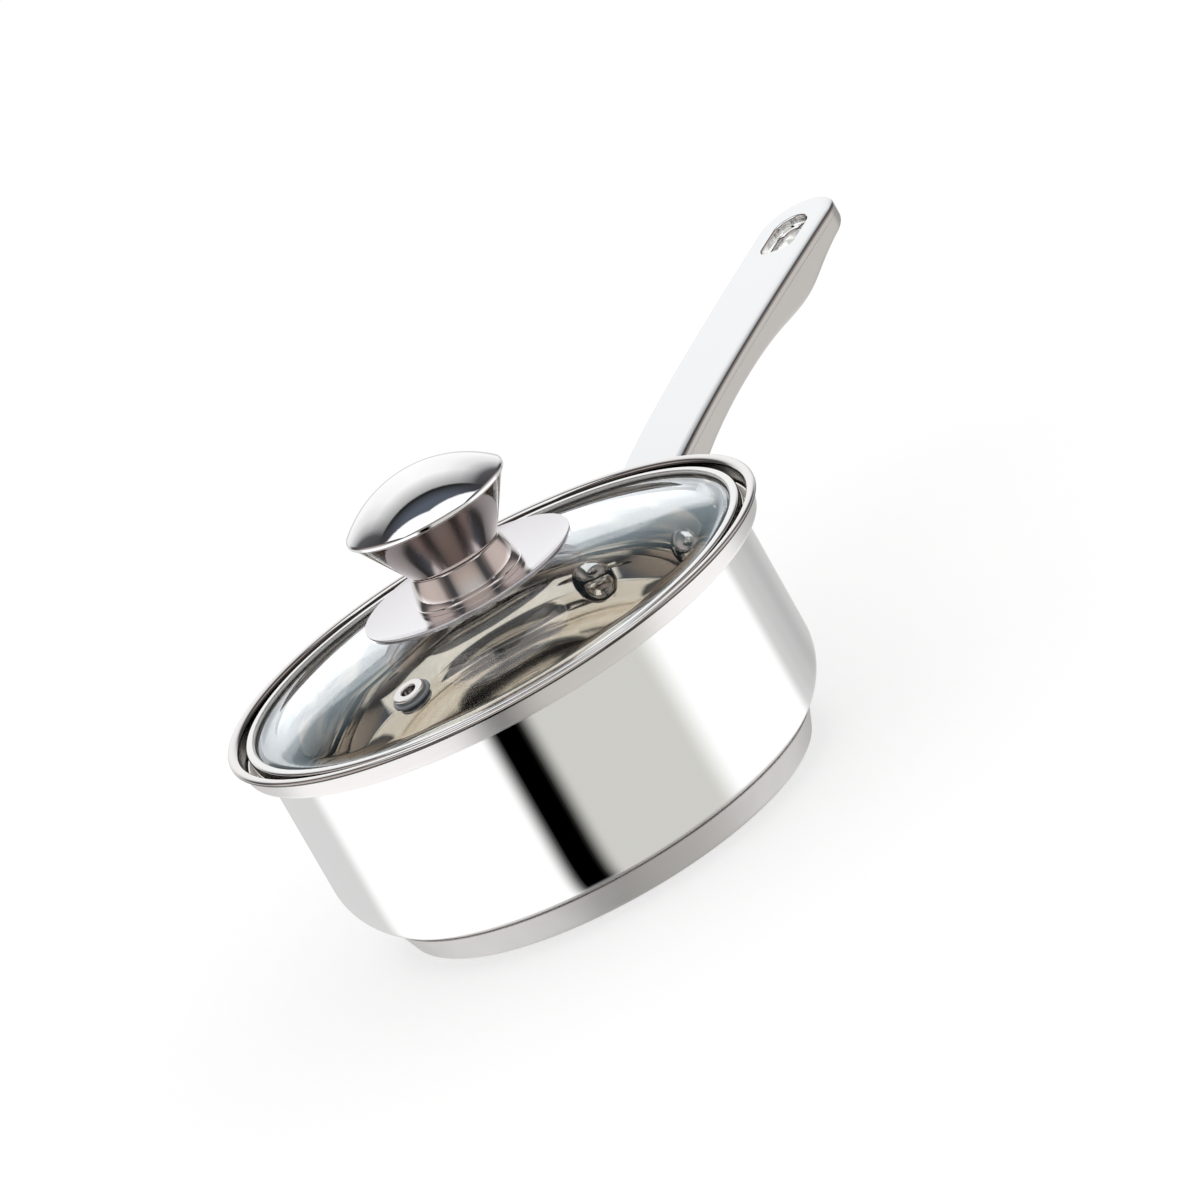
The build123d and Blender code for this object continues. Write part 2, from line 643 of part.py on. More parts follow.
def knob_screw():
    """Pan-head screw from below, with a cross recess, up into the boss."""
    head, shank = SCREW_HEAD_DIAMETER / 2, SCREW_DIAMETER / 2
    end = NECK_HEIGHT + KNOB_SHEET + SCREW_GRIP
    line = FilletPolyline(
        (0, WASHER_LOW - SCREW_HEAD_HEIGHT),
        (head, WASHER_LOW - SCREW_HEAD_HEIGHT),
        (head, WASHER_LOW),
        (shank, WASHER_LOW),
        (shank, end),
        (0, end),
        radius=[0, 0.6 * SCREW_HEAD_HEIGHT, 0, 0, shank / 4, 0],
        close=True,
    )
    slot = Box(SCREW_HEAD_DIAMETER / 2, SCREW_HEAD_DIAMETER / 8, SCREW_HEAD_HEIGHT)
    recess = Pos(0, 0, WASHER_LOW - SCREW_HEAD_HEIGHT) * (slot + Rot(0, 0, 90) * slot)
    return spun(make_face(line)) - recess


# ---------------------------------------------------------------- files
NODES = {
    "pan_body": pan_body,
    "base_core": base_core,
    "base_cap": base_cap,
    "handle_bracket": handle_bracket,
    "rivet_left": lambda: rivet(1),
    "rivet_right": lambda: rivet(-1),
    "handle_cover": handle_cover,
    "handle_tray": handle_tray,
    "lid_rim": lid_rim,
    "rim_seal": rim_seal,
    "lid_glass": lid_glass,
    "vent_eyelet": vent_eyelet,
    "vent_seal": vent_seal,
    "vent_back_ring": vent_back_ring,
    "knob_plate": knob_plate,
    "knob_seal": knob_seal,
    "knob_collar": knob_collar,
    "knob_body": knob_body,
    "knob_cap": knob_cap,
    "knob_insert": knob_insert,
    "washer_seal": washer_seal,
    "knob_washer": knob_washer,
    "knob_screw": knob_screw,
}

os.makedirs("parts", exist_ok=True)
for node, make in NODES.items():
    export_step(make(), f"parts/{node}.step")
    print(node, "written")
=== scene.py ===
# %% [markdown]
# # A saucepan with a glass lid
#
# This lesson dresses a measured saucepan with a hollow handle and a glass lid. Nearly every piece
# of it is turned: a profile goes once round an axis. The handle's two halves and the plate behind
# it are surfaces on a grid. Six small parts that hardly show keep their measured shape and only
# get a finish. Sizes are in millimetres here and become metres in the mesh.

import math

import bmesh
import bpy
import numpy as np
from mathutils import Matrix


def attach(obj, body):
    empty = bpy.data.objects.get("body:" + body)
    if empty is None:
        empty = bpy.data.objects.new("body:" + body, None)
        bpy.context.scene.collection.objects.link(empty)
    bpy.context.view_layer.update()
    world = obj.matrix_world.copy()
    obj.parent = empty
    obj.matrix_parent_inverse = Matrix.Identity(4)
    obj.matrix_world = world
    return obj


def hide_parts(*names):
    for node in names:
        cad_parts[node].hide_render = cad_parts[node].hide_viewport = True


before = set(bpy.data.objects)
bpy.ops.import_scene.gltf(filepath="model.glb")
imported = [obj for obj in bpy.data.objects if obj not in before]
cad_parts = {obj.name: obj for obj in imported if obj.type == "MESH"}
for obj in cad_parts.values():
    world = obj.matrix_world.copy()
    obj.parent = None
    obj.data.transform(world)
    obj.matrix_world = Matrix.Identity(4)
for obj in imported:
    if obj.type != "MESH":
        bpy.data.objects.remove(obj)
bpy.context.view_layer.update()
MM = 0.001
scene = bpy.context.scene

# %% [markdown]
# ## Camera
#
# A product picture is taken with a long lens from far away, so that round rims stay even ovals.
# The camera looks down by 16 degrees and is rolled by almost 30, which gives the pan its lively
# tilt. A camera looks along its own -Z, so its three axes become the columns of a matrix.

# %% Camera from far away, rolled
AROUND, ABOVE, ROLL = np.radians([-52.5, 16.33, 29.58])
MID_HEIGHT, ASIDE, UPWARDS, DISTANCE = 40.0, 30.65, 23.6, 2909
FOCAL_LENGTH, SENSOR_WIDTH = 295.9, 36
side = np.array([np.cos(AROUND), np.sin(AROUND), 0.0])
rise = np.array([-np.sin(AROUND) * np.sin(ABOVE), np.cos(AROUND) * np.sin(ABOVE), np.cos(ABOVE)])
back = np.array([np.sin(AROUND) * np.cos(ABOVE), -np.cos(AROUND) * np.cos(ABOVE), np.sin(ABOVE)])
place = np.array([0, 0, MID_HEIGHT]) + ASIDE * side + UPWARDS * rise + DISTANCE * back

lens = bpy.data.cameras.new("camera")
lens.lens = FOCAL_LENGTH
lens.sensor_width = SENSOR_WIDTH
lens.clip_start, lens.clip_end = 0.1, 100
camera = bpy.data.objects.new("camera", lens)
turn = np.eye(4)
turn[:3, 0] = np.cos(ROLL) * side - np.sin(ROLL) * rise
turn[:3, 1] = np.sin(ROLL) * side + np.cos(ROLL) * rise
turn[:3, 2] = back
turn[:3, 3] = place * MM
camera.matrix_world = Matrix(turn.tolist())
scene.collection.objects.link(camera)
scene.camera = camera
print("camera stands at", (place * MM).round(3).tolist())

# %% [markdown]
# ## Node helpers
#
# A material or a world is a small network of nodes. A few helpers keep the cells short: they add
# a node, do a sum, turn a value into colours or into a soft step, and mix two colours.


# %% Add a node, do a sum, blend by a ramp
def add(tree, kind, feeds=None, **settings):
    """A shader node of that kind with its settings, its inputs fed by values or other outputs."""
    made = tree.nodes.new("ShaderNode" + kind)
    for name, value in settings.items():
        setattr(made, name, value)
    for name, value in (feeds or {}).items():
        if isinstance(value, bpy.types.NodeSocket):
            tree.links.new(value, made.inputs[name])
        else:
            made.inputs[name].default_value = value
    return made


def calc(tree, operation, *values, clamp=False):
    """The output of a Math node fed with numbers or outputs."""
    feeds = dict(enumerate(values))
    return add(tree, "Math", feeds, operation=operation, use_clamp=clamp).outputs[0]


def vector(tree, operation, *values, output=0):
    """One output of a Vector Math node fed with outputs or with triples of numbers."""
    feeds = {k: v if hasattr(v, "links") else [float(x) for x in v] for k, v in enumerate(values)}
    return add(tree, "VectorMath", feeds, operation=operation).outputs[output]


def ramp(tree, value, stops, smooth=False):
    """Colours that follow a value from 0 to 1. Each stop is a position and a grey or a colour."""
    made = add(tree, "ValToRGB", {0: value})
    made.color_ramp.interpolation = "EASE" if smooth else "LINEAR"
    points = made.color_ramp.elements
    while len(points) > 1:
        points.remove(points[-1])
    for k, (position, colour) in enumerate(stops):
        point = points[0] if k == 0 else points.new(position)
        point.position = position
        rgb = colour if isinstance(colour, tuple) else (colour,) * 3
        point.color = (*rgb, 1)
    return made.outputs[0]


def fade(tree, value, start, end):
    """0 where the value is at start or before it, 1 from end on, and an eased step in between."""
    feeds = {"Value": value, "From Min": start, "From Max": end}
    return add(tree, "MapRange", feeds, interpolation_type="SMOOTHSTEP").outputs[0]


def blend(tree, share, first, second):
    """Mix of two colours by a share."""
    feeds = {0: share, 6: first, 7: second}
    return add(tree, "Mix", feeds, data_type="RGBA").outputs[2]


print("helpers ready")

# %% [markdown]
# ## The studio: which way a mirror faces
#
# Polished steel has hardly a colour of its own: it shows the room. The studio is painted on the
# world, as boards that only shiny and clear surfaces see. All else gets even white light, and the
# camera sees plain white. Real boards could stand there, but a painted world has no clutter.
#
# The boards are laid out by the half-way vector: a mirror shows a direction to the main view when
# it faces half-way between that direction and the way back to the camera. So a shade is given to
# a lean of the metal. The way back is one fixed vector, so the boards stand still in the room
# when another camera looks.

# %% World: directions, and the way a mirror faces
world = bpy.data.worlds.new("studio")
scene.world = world
world.use_nodes = True
tree = world.node_tree
tree.nodes.clear()


def along(pointer, axis):
    """How far a vector of length 1 points along an axis, from -1 to 1."""
    return vector(tree, "DOT_PRODUCT", pointer, axis, output="Value")


front = np.array([back[0], back[1], 0]) / np.hypot(back[0], back[1])
direction = add(tree, "TexCoord").outputs["Generated"]
facing = vector(tree, "NORMALIZE", vector(tree, "ADD", direction, back))
height = along(direction, (0, 0, 1))
ahead = along(direction, front)
aside = along(direction, side)
facing_up = along(facing, (0, 0, 1))
print("straight back is", back.round(3).tolist())

# %% [markdown]
# ## The studio: a ring of boards
#
# The wall is an upright mirror. It shows a ring of boards at its own level: grey, a wide white
# one, a narrow black one, grey, and white again, as photographers set them up to give a shiny
# wall its stripes. A second set colours the turn to the base, where the mirror leans far down.
#
# Where the wall turns in to the floor, plain boards would bend the stripes sideways. So below the
# level a board moves to the bearing that the wall shows straight above. There the corner stands
# WALL_RADIUS - CORNER_BEND + CORNER_BEND * level from the axis, level being the level part of its
# facing, and an upright mirror doubles the angle that it is turned by.

# %% World: the ring, bent under the level
WALL_RADIUS, CORNER_BEND = 80.0, 22.0
corner_axis = WALL_RADIUS - CORNER_BEND
steepness = calc(tree, "MULTIPLY", facing_up, facing_up)
level = calc(tree, "SQRT", calc(tree, "SUBTRACT", 1.0, steepness, clamp=True))
drawn_in = calc(tree, "DIVIDE", corner_axis / WALL_RADIUS, level)
drawn_in = calc(tree, "ADD", drawn_in, CORNER_BEND / WALL_RADIUS)
bearing = calc(tree, "ARCTAN2", aside, ahead)
above_it = calc(tree, "ARCSINE", calc(tree, "MULTIPLY", along(facing, side), drawn_in))
below = calc(tree, "MULTIPLY", above_it, 2.0)
is_under = calc(tree, "LESS_THAN", facing_up, 0.0)
turn_in = calc(tree, "MULTIPLY", calc(tree, "SUBTRACT", below, bearing), is_under)
lap = calc(tree, "MULTIPLY_ADD", calc(tree, "ADD", bearing, turn_in), 1 / (2 * np.pi), 0.5)


def round_the_pan(stops):
    """Stops given by bearing in degrees, 0 towards the camera and positive to its right."""
    return [((degrees + 180) / 360, shade) for degrees, shade in stops]


WHITE, GREY, BLACK = 1.12, (0.66, 0.655, 0.62), 0.0
stops = round_the_pan([
    (-180, 0.69), (-128, 0.70), (-116, WHITE), (-30, WHITE), (-21, BLACK), (-12, BLACK),
    (-3, GREY), (46, GREY), (62, WHITE), (110, WHITE), (120, 0.66), (130, 0.59), (144, 0.51),
    (160, 0.60), (180, 0.69),
])
boards = ramp(tree, lap, stops, smooth=True)
ground = ramp(tree, lap, round_the_pan([
    (-180, 0.50), (-130, 0.78), (-24, 0.72), (0, 0.60), (48, 0.46), (72, 0.32), (96, 0.19),
    (120, 0.10), (150, 0.09), (180, 0.50),
]))
print("the ring has", len(stops), "stops, the first at", stops[0])

# %% [markdown]
# ## The studio: what hangs above
#
# The knob, the saucer and the inside look up. From the horizon behind the pan over to the
# camera's side they see a big white board that fades as it leans over, a black gap, a slate cloth
# and a warm grey. To both sides these strips give way to warm walls, lighter outwards. A white
# panel with a slanting edge hangs over the front.


# %% World: strips overhead, side walls and a panel
def over_the_pan(stops):
    """Stops given by climb in degrees: 0 level behind the pan, 90 overhead, 180 level in front."""
    return [(degrees / 180, shade) for degrees, shade in stops]


climb = calc(tree, "ARCTAN2", height, along(direction, -front))
climb = calc(tree, "MULTIPLY", climb, 1 / np.pi)
SLATE = (0.10, 0.115, 0.145)
strips = ramp(tree, climb, over_the_pan([
    (0, 1.06), (43, 1.04), (52, 0.78), (60, 0.56), (65.5, 0.42), (66.5, 0.015), (69, 0.02),
    (72, (0.05, 0.057, 0.07)), (80, SLATE), (124, SLATE), (134, (0.30, 0.26, 0.24)),
    (160, (0.46, 0.40, 0.365)), (180, 0.5),
]))
beside = calc(tree, "ABSOLUTE", aside)
spread = ramp(tree, beside, [
    (0, 0), (0.25, 0.06), (0.40, 0.25), (0.50, 0.6), (0.56, 0.95), (0.72, 1),
])
side_walls = ramp(tree, beside, [
    (0.66, (0.05, 0.05, 0.055)), (0.78, (0.16, 0.14, 0.135)), (0.88, (0.50, 0.44, 0.42)),
    (1, (0.58, 0.51, 0.49)),
])
PANEL_SLANT, PANEL_NEAR, PANEL_FAR, PANEL_SIDE = 0.28, (-0.03, 0.0), (0.55, 0.50), (0.64, 0.61)
slanting = calc(tree, "MULTIPLY_ADD", beside, PANEL_SLANT, ahead)
panel = calc(tree, "MULTIPLY", fade(tree, slanting, *PANEL_NEAR), fade(tree, beside, *PANEL_SIDE))
panel = calc(tree, "MULTIPLY", panel, fade(tree, ahead, *PANEL_FAR))
ceiling = blend(tree, spread, strips, side_walls)
ceiling = blend(tree, panel, ceiling, (WHITE, WHITE, WHITE, 1))
print("world nodes so far", len(tree.nodes))

# %% [markdown]
# ## The studio: put together, and a board for the glass
#
# The ring passes into the ceiling near the level, and into the ground where a mirror leans far
# down. A mirror seen from its edge shows what stands behind the pan. All the stripes would run
# together and flicker there, so a calm grey takes their place.
#
# Glass mirrors weakly, and a photographer sets its gleam apart from the rest with a low board and
# a polarising filter. Here Light Path does that. The blue-white board is seen only by rays that
# the glass's first face mirrors, and by rays that go in, are mirrored inside and come out again.


# %% World: one surrounding, a low board for the glass, and even light for the rest
def light_paths(tree):
    """What Light Path tells of a ray, and 1 where it comes from a shiny or clear surface."""
    paths = add(tree, "LightPath").outputs
    return paths, calc(tree, "MAXIMUM", paths["Is Glossy Ray"], paths["Is Transmission Ray"])


AT_THE_LEVEL, FAR_DOWN, NEARLY_EDGE_ON = (-0.09, 0.04), (-0.70, -0.84), (0.16, 0.05)
rising = fade(tree, height, *AT_THE_LEVEL)
falling = fade(tree, facing_up, *FAR_DOWN)
around = blend(tree, falling, blend(tree, rising, boards, ceiling), ground)
edge_on = fade(tree, along(facing, back), *NEARLY_EDGE_ON)
around = blend(tree, edge_on, around, (0.66, 0.66, 0.64, 1))

GLEAM = (1.7, 1.78, 1.84)
low_board = ramp(tree, climb, over_the_pan([
    (0, GLEAM), (17.2, GLEAM), (18.2, (0.62, 0.74, 0.80)), (24, (0.40, 0.48, 0.52)),
    (31, (0.05, 0.06, 0.065)), (60, 0.0), (180, 0.0),
]))
paths, shiny = light_paths(tree)
first_face = calc(tree, "MULTIPLY", paths["Is Reflection Ray"], paths["Is Singular Ray"])
twice_through = calc(tree, "COMPARE", paths["Transmission Depth"], 2.0, 0.5)
once_mirrored = calc(tree, "GREATER_THAN", paths["Glossy Depth"], 0.5)
second_face = calc(tree, "MULTIPLY", twice_through, once_mirrored)
on_glass = calc(tree, "MAXIMUM", first_face, second_face)
seen = blend(tree, on_glass, around, low_board)
seen = blend(tree, shiny, (1.0, 1.0, 1.0, 1), seen)
glow = add(tree, "Background", {"Color": seen, "Strength": 1.0})
add(tree, "OutputWorld", {"Surface": glow.outputs[0]})
scene.view_settings.view_transform = "Standard"
print("world nodes", len(tree.nodes))

# %% [markdown]
# ## The floor
#
# The pan stands on a plain white floor that keeps its soft shadow: pale paint with a little glow
# for the camera. Shiny rays pass to the boards below, so the wall's stripes run all the way down.

# %% White floor
HALF_FLOOR, JUST_UNDER, FLOOR_PAINT, FLOOR_GLOW = 30.0, 0.0003, 0.42, 0.60
corners = HALF_FLOOR * np.array([[-1, -1], [1, -1], [1, 1], [-1, 1]])
ground_mesh = bpy.data.meshes.new("floor")
spots = np.column_stack([corners, np.full(4, -JUST_UNDER)])
ground_mesh.from_pydata(spots.tolist(), [], [(0, 1, 2, 3)])
floor = bpy.data.objects.new("floor", ground_mesh)
scene.collection.objects.link(floor)

paint = bpy.data.materials.new("white_floor")
paint.use_nodes = True
tree = paint.node_tree
tree.nodes.clear()
paths, shiny = light_paths(tree)
matt = add(tree, "BsdfDiffuse", {"Color": (*(FLOOR_PAINT,) * 3, 1)}).outputs[0]
strength = calc(tree, "MULTIPLY", paths["Is Camera Ray"], FLOOR_GLOW)
lift = add(tree, "Emission", {"Strength": strength}).outputs[0]
both = add(tree, "AddShader", {0: matt, 1: lift}).outputs[0]
clear = add(tree, "BsdfTransparent").outputs[0]
surface = add(tree, "MixShader", {0: shiny, 1: both, 2: clear}).outputs[0]
add(tree, "OutputMaterial", {"Surface": surface})
floor.data.materials.append(paint)
print("floor spans", 2 * HALF_FLOOR, "m")

# %% [markdown]
# ## Steel
#
# One recipe makes every steel here. Metallic is 1, so the base colour is the colour of the mirror
# image. Roughness blurs that image: 0.03 is a mirror, 0.45 is satin. Real sheet is never perfect,
# so a noise stretched round the axis makes fine turning lines, and a slow noise makes the waves
# that a pressed sheet keeps. The floor inside has its own recipe: its turning rings are painted
# from dark brown to cream, a painted reflection.


# %% A steel that follows the shape
def shell_of(name):
    """An empty material with its node tree."""
    made = bpy.data.materials.new(name)
    made.use_nodes = True
    made.node_tree.nodes.clear()
    return made, made.node_tree


def ring_place(tree, across, around):
    """Coordinates in which a pattern runs in rings about the pan's axis: distance and height are
    stretched by across, and the way round by around."""
    spot = add(tree, "TexCoord").outputs["Object"]
    x, y, z = add(tree, "SeparateXYZ", {0: spot}).outputs
    squares = [calc(tree, "MULTIPLY", v, v) for v in (x, y)]
    distance = calc(tree, "SQRT", calc(tree, "ADD", *squares))
    feeds = {0: calc(tree, "MULTIPLY", distance, across), 1: calc(tree, "MULTIPLY", z, across),
             2: calc(tree, "MULTIPLY", calc(tree, "ADD", x, y), around)}
    return add(tree, "CombineXYZ", feeds).outputs[0], spot


def noise(tree, place, scale, detail):
    """A soft random value from 0 to 1 that follows the place."""
    feeds = {"Vector": place, "Scale": scale, "Detail": detail}
    return add(tree, "TexNoise", feeds).outputs[0]


def waves_of(tree, place, size, detail):
    """A slow noise with that many waves to the metre along x, y and z."""
    return noise(tree, vector(tree, "MULTIPLY", place, size), 1.0, detail)


def tipped(tree, height, distance, strength=1.0):
    """A normal tipped by a height, which is given in shares of the distance in metres."""
    feeds = {"Height": height, "Distance": distance, "Strength": strength}
    return add(tree, "Bump", feeds).outputs[0]


def shaded(made, tree, feeds):
    """The material, with one Principled shader whose sockets are fed by name."""
    body = add(tree, "BsdfPrincipled", feeds)
    add(tree, "OutputMaterial", {"Surface": body.outputs[0]})
    return made


ROUND_SCALE, PATCH_SCALE, SMOOTHEST = 60.0, 140.0, 0.01


def steel(name, colour, rough, lines=0.0, lines_size=9000.0, waves=0.0, waves_size=(22, 22, 22),
          haze=0.02):
    """Steel with fine rings (lines), slow dents (waves, as many to the metre along x, y and z as
    waves_size says) and uneven polish (haze)."""
    made, tree = shell_of(name)
    rings, spot = ring_place(tree, lines_size, ROUND_SCALE)
    grain = noise(tree, rings, 1.0, 2.0)
    slow = waves_of(tree, spot, waves_size, 1.0)
    patch = calc(tree, "SUBTRACT", noise(tree, spot, PATCH_SCALE, 3.0), 0.5)
    polish = calc(tree, "MAXIMUM", calc(tree, "MULTIPLY_ADD", patch, haze * 2, rough), SMOOTHEST)
    dents = calc(tree, "MULTIPLY", slow, waves)
    level = calc(tree, "ADD", calc(tree, "MULTIPLY", grain, lines), dents)
    feeds = {"Base Color": (*colour, 1), "Metallic": 1.0, "Roughness": polish,
             "Normal": tipped(tree, level, 0.001)}
    return shaded(made, tree, feeds)


def rings_and_painted_reflection(name):
    """The pan's floor inside: turning rings that follow the distance alone, painted from dark
    brown to cream as a painted reflection.
    """
    made, tree = shell_of(name)
    rings, _ = ring_place(tree, 260.0, 0.0)
    # Painted reflection: the rings' shades run from dark brown to cream.
    shade = ramp(tree, noise(tree, rings, 1.0, 3.0), [
        (0.30, (0.12, 0.10, 0.08)), (0.38, (0.50, 0.43, 0.35)), (0.50, (0.86, 0.77, 0.67)),
        (0.66, (0.95, 0.90, 0.82)),
    ])
    return shaded(made, tree, {"Base Color": shade, "Metallic": 1.0, "Roughness": 0.10})


print("one recipe for steel, one for the floor inside")

# %% [markdown]
# ## The steels of this pan
#
# Each steel has its colour, its roughness, and what its making left in it. The colour is painted
# warmer where metal mirrors metal, inside the pan and round the knob's neck, as a painted
# reflection tint. Painted shade darkens the groove under the lip, the knob's cone and the handle's
# sides and underside.

# %% The steels
WALL = steel("polished_wall", (0.93, 0.93, 0.925), 0.03, haze=0.006)
BAND = steel("band_steel", (0.86, 0.84, 0.83), 0.30, lines=0.004, haze=0.03)
LIP = steel("lip_steel", (0.80, 0.78, 0.77), 0.10, lines=0.003, haze=0.02)
# Painted shade: the groove inside the band under the lip is the same steel, painted nearly black
# where it lies in shadow.
PAINTED_GROOVE_SHADE = steel("groove_painted_shade_steel", (0.10, 0.09, 0.08), 0.18, lines=0.003, haze=0.04)
# Inside the pan the steel is painted warmer: a painted reflection tint of metal mirroring metal.
INSIDE = steel("inside_steel", (0.89, 0.85, 0.79), 0.02, waves=0.22, waves_size=(10, 10, 22),
               haze=0.004)
# The floor inside: real turning rings, painted light and dark as a painted reflection.
PAN_FLOOR_RINGS_AND_REFLECTION = rings_and_painted_reflection("inside_floor_rings_painted_reflection_steel")
FOOT = steel("base_satin", (0.62, 0.605, 0.60), 0.45, lines=0.012, lines_size=7000, haze=0.06)
RIVET = steel("rivet_steel", (1.0, 0.98, 0.95), 0.02, waves=0.06, waves_size=(140, 140, 140),
              haze=0.004)
HANDLE_TOP = steel("handle_top_steel", (0.85, 0.86, 0.875), 0.10, waves=0.06,
                   waves_size=(30, 30, 30), haze=0.03)
# Sides and underside of the handle: satin steel, its colour painted darker than the top's as
# painted shade.
HANDLE_SIDE_SATIN_SHADED = steel("handle_side_satin_shaded_steel", (0.50, 0.475, 0.45), 0.30, waves=0.1, haze=0.04)
HOLE_STEEL = steel("hole_steel", (0.93, 0.93, 0.925), 0.10, waves=0.05, waves_size=(60, 60, 60))
turned_finish = {"lines": 0.003, "lines_size": 4000, "haze": 0.01}
KNOB = steel("knob_steel", (0.93, 0.93, 0.94), 0.03, **turned_finish)
# The cone is the same polished steel as the cap, painted darker and warmer: painted shade for the
# dark surroundings it mirrors.
SHADED_CONE = steel("cone_painted_shade_steel", (0.62, 0.56, 0.535), 0.04, **turned_finish)
# The knob's foot is painted warmer: a painted reflection tint where metal mirrors metal.
COLLAR = steel("collar_steel", (0.92, 0.87, 0.845), 0.04, **turned_finish)
PLATE = steel("plate_steel", (0.78, 0.765, 0.79), 0.13)
RIM = steel("lid_rim_steel", (0.82, 0.815, 0.81), 0.05, lines=0.003)
PLAIN = steel("plain_steel", (0.62, 0.61, 0.60), 0.28, haze=0.05)
EYELET = steel("eyelet_steel", (0.80, 0.79, 0.78), 0.04, waves=0.08, waves_size=(260, 260, 260),
               haze=0.03)
CORE = steel("mill_aluminium", (0.80, 0.80, 0.81), 0.40, lines=0.01, haze=0.05)
print("steels:", ", ".join(m.name for m in bpy.data.materials if "steel" in m.name))

# %% [markdown]
# ## Clear glass and silicone
#
# Tempered glass is nearly colourless, with a faint blue-grey in its thickness. Light must bend
# through both of its faces, so the piece is a closed solid and the shader's transmission is 1.
# Silicone is a slightly cloudy rubber. That hardly shows at this size, so a plain colour with a
# fine grain is enough.


# %% Glass and silicone
def glass(name, colour):
    """Clear glass with the slow waves that pressing leaves: a noise a few centimetres long tips
    its surface by a degree or so, and the edge of a reflection wavers."""
    made, tree = shell_of(name)
    spot = add(tree, "TexCoord").outputs["Object"]
    slow = waves_of(tree, spot, (24, 24, 0), 0.0)
    feeds = {"Base Color": (*colour, 1), "Roughness": 0.0, "IOR": 1.5, "Transmission Weight": 1.0,
             "Normal": tipped(tree, slow, 0.0007)}
    return shaded(made, tree, feeds)


def silicone(name, colour, rough):
    """Soft rubber with a fine, dull skin."""
    made, tree = shell_of(name)
    fine = noise(tree, add(tree, "TexCoord").outputs["Object"], 1800.0, 2.0)
    shade = ramp(tree, fine, [(0.3, tuple(0.85 * c for c in colour)), (0.7, colour)])
    feeds = {"Base Color": shade, "Roughness": rough, "Normal": tipped(tree, fine, 0.0002, 0.3)}
    return shaded(made, tree, feeds)


GLASS = glass("clear_glass", (0.955, 0.975, 0.98))
DARK_RUBBER = silicone("dark_silicone", (0.045, 0.045, 0.05), 0.32)
VENT_RUBBER = silicone("vent_silicone", (0.20, 0.21, 0.225), 0.25)
PALE_RUBBER = silicone("clear_silicone", (0.62, 0.62, 0.60), 0.4)
print("glass and three rubbers")

# %% [markdown]
# ## Profiles
#
# A pressed or turned part is drawn as half a section: distance from the axis and height. It is a
# few corners joined by straight runs, each rounded by its bend radius. Smooth shading spreads a
# bend over the next face, so a point close to each end of a run keeps the bend where it belongs.


# %% Round the corners and give a line its thickness
def within_run(start, end, guard=0.12, step=4.0):
    """Points inside a straight run: one close to each end, and even ones between them."""
    run = np.linalg.norm(end - start)
    if run <= 4 * guard:
        return np.empty((0, 2))
    shares = np.linspace(guard, run - guard, max(2, int(run / step) + 1)) / run
    return start + (end - start) * shares[:, None]


def guarded(*corners):
    """A line of straight runs with the points inside each of them."""
    line = np.array(corners, float)
    parts = [np.vstack([a, within_run(a, b)]) for a, b in zip(line[:-1], line[1:])]
    return np.vstack([*parts, line[-1:]])


def rounded(corners, bends, fine=9.0, reach=3.5, step=4.0):
    """Line through corners, each inner one replaced by an arc. Its centre lies on the bisector, at
    bend / sin(half the angle), and its points turn from one tangent point to the other, at most
    fine degrees and reach millimetres apart."""
    corners = np.asarray(corners, float)
    line, last = [corners[:1]], corners[0]
    for before, corner, after, bend in zip(corners, corners[1:], corners[2:], bends):
        piece = corner[None]
        if bend > 0:
            a, b = ((other - corner) / np.linalg.norm(other - corner) for other in (before, after))
            half = np.arccos(np.clip(a @ b, -1, 1)) / 2
            start, end = corner + a * bend / np.tan(half), corner + b * bend / np.tan(half)
            centre = corner + (a + b) / np.linalg.norm(a + b) * bend / np.sin(half)
            turned_by = np.pi - 2 * half
            count = math.ceil(max(np.degrees(turned_by) / fine, turned_by * bend / reach, 2))
            t = np.linspace(0, 1, count + 1)[:, None]
            arc = np.sin((1 - t) * turned_by) * (start - centre)
            arc += np.sin(t * turned_by) * (end - centre)
            piece = centre + arc / np.sin(turned_by)
        line += [within_run(last, piece[0], step=step), piece]
        last = piece[-1]
    return np.vstack([*line, within_run(last, corners[-1], step=step), corners[-1:]])


def sheet(corners, bends, thickness, **finer):
    """Both faces of a bent sheet: the drawn line, and the parallel to its left, walked back."""
    corners = np.asarray(corners, float)
    runs = np.diff(corners, axis=0)
    runs /= np.linalg.norm(runs, axis=1)[:, None]
    lefts = np.column_stack([-runs[:, 1], runs[:, 0]])
    shift = lefts[:-1] + lefts[1:]
    shift *= thickness / (1 + np.sum(lefts[:-1] * lefts[1:], axis=1))[:, None]
    first, last = corners[0] + lefts[0] * thickness, corners[-1] + lefts[-1] * thickness
    inner = np.vstack([first, corners[1:-1] + shift, last])
    to_left = runs[:-1, 0] * runs[1:, 1] > runs[:-1, 1] * runs[1:, 0]
    inner_bends = np.asarray(bends, float) + np.where(to_left, -thickness, thickness)
    return rounded(corners, bends, **finer), rounded(inner, inner_bends, **finer)[::-1]


def dome(apex, radius, start, end, points=24):
    """Arc of a dome's section: height is apex - radius + sqrt(radius^2 - distance^2)."""
    r = np.linspace(start, end, points)
    return np.column_stack([r, apex - radius + np.sqrt(radius**2 - r**2)])


print("a 90 degree bend of 2 mm has", len(rounded([(0, 0), (9, 0), (9, 9)], [2])), "points")

# %% [markdown]
# ## Turning a profile
#
# Turning is one formula: every profile point (r, z) goes to (r cos a, r sin a, z) for all the
# angles a, as one array. Where the profile touches the axis its ring is a single point, so
# doubles are merged. The sign of the enclosed volume tells whether the faces look outwards.


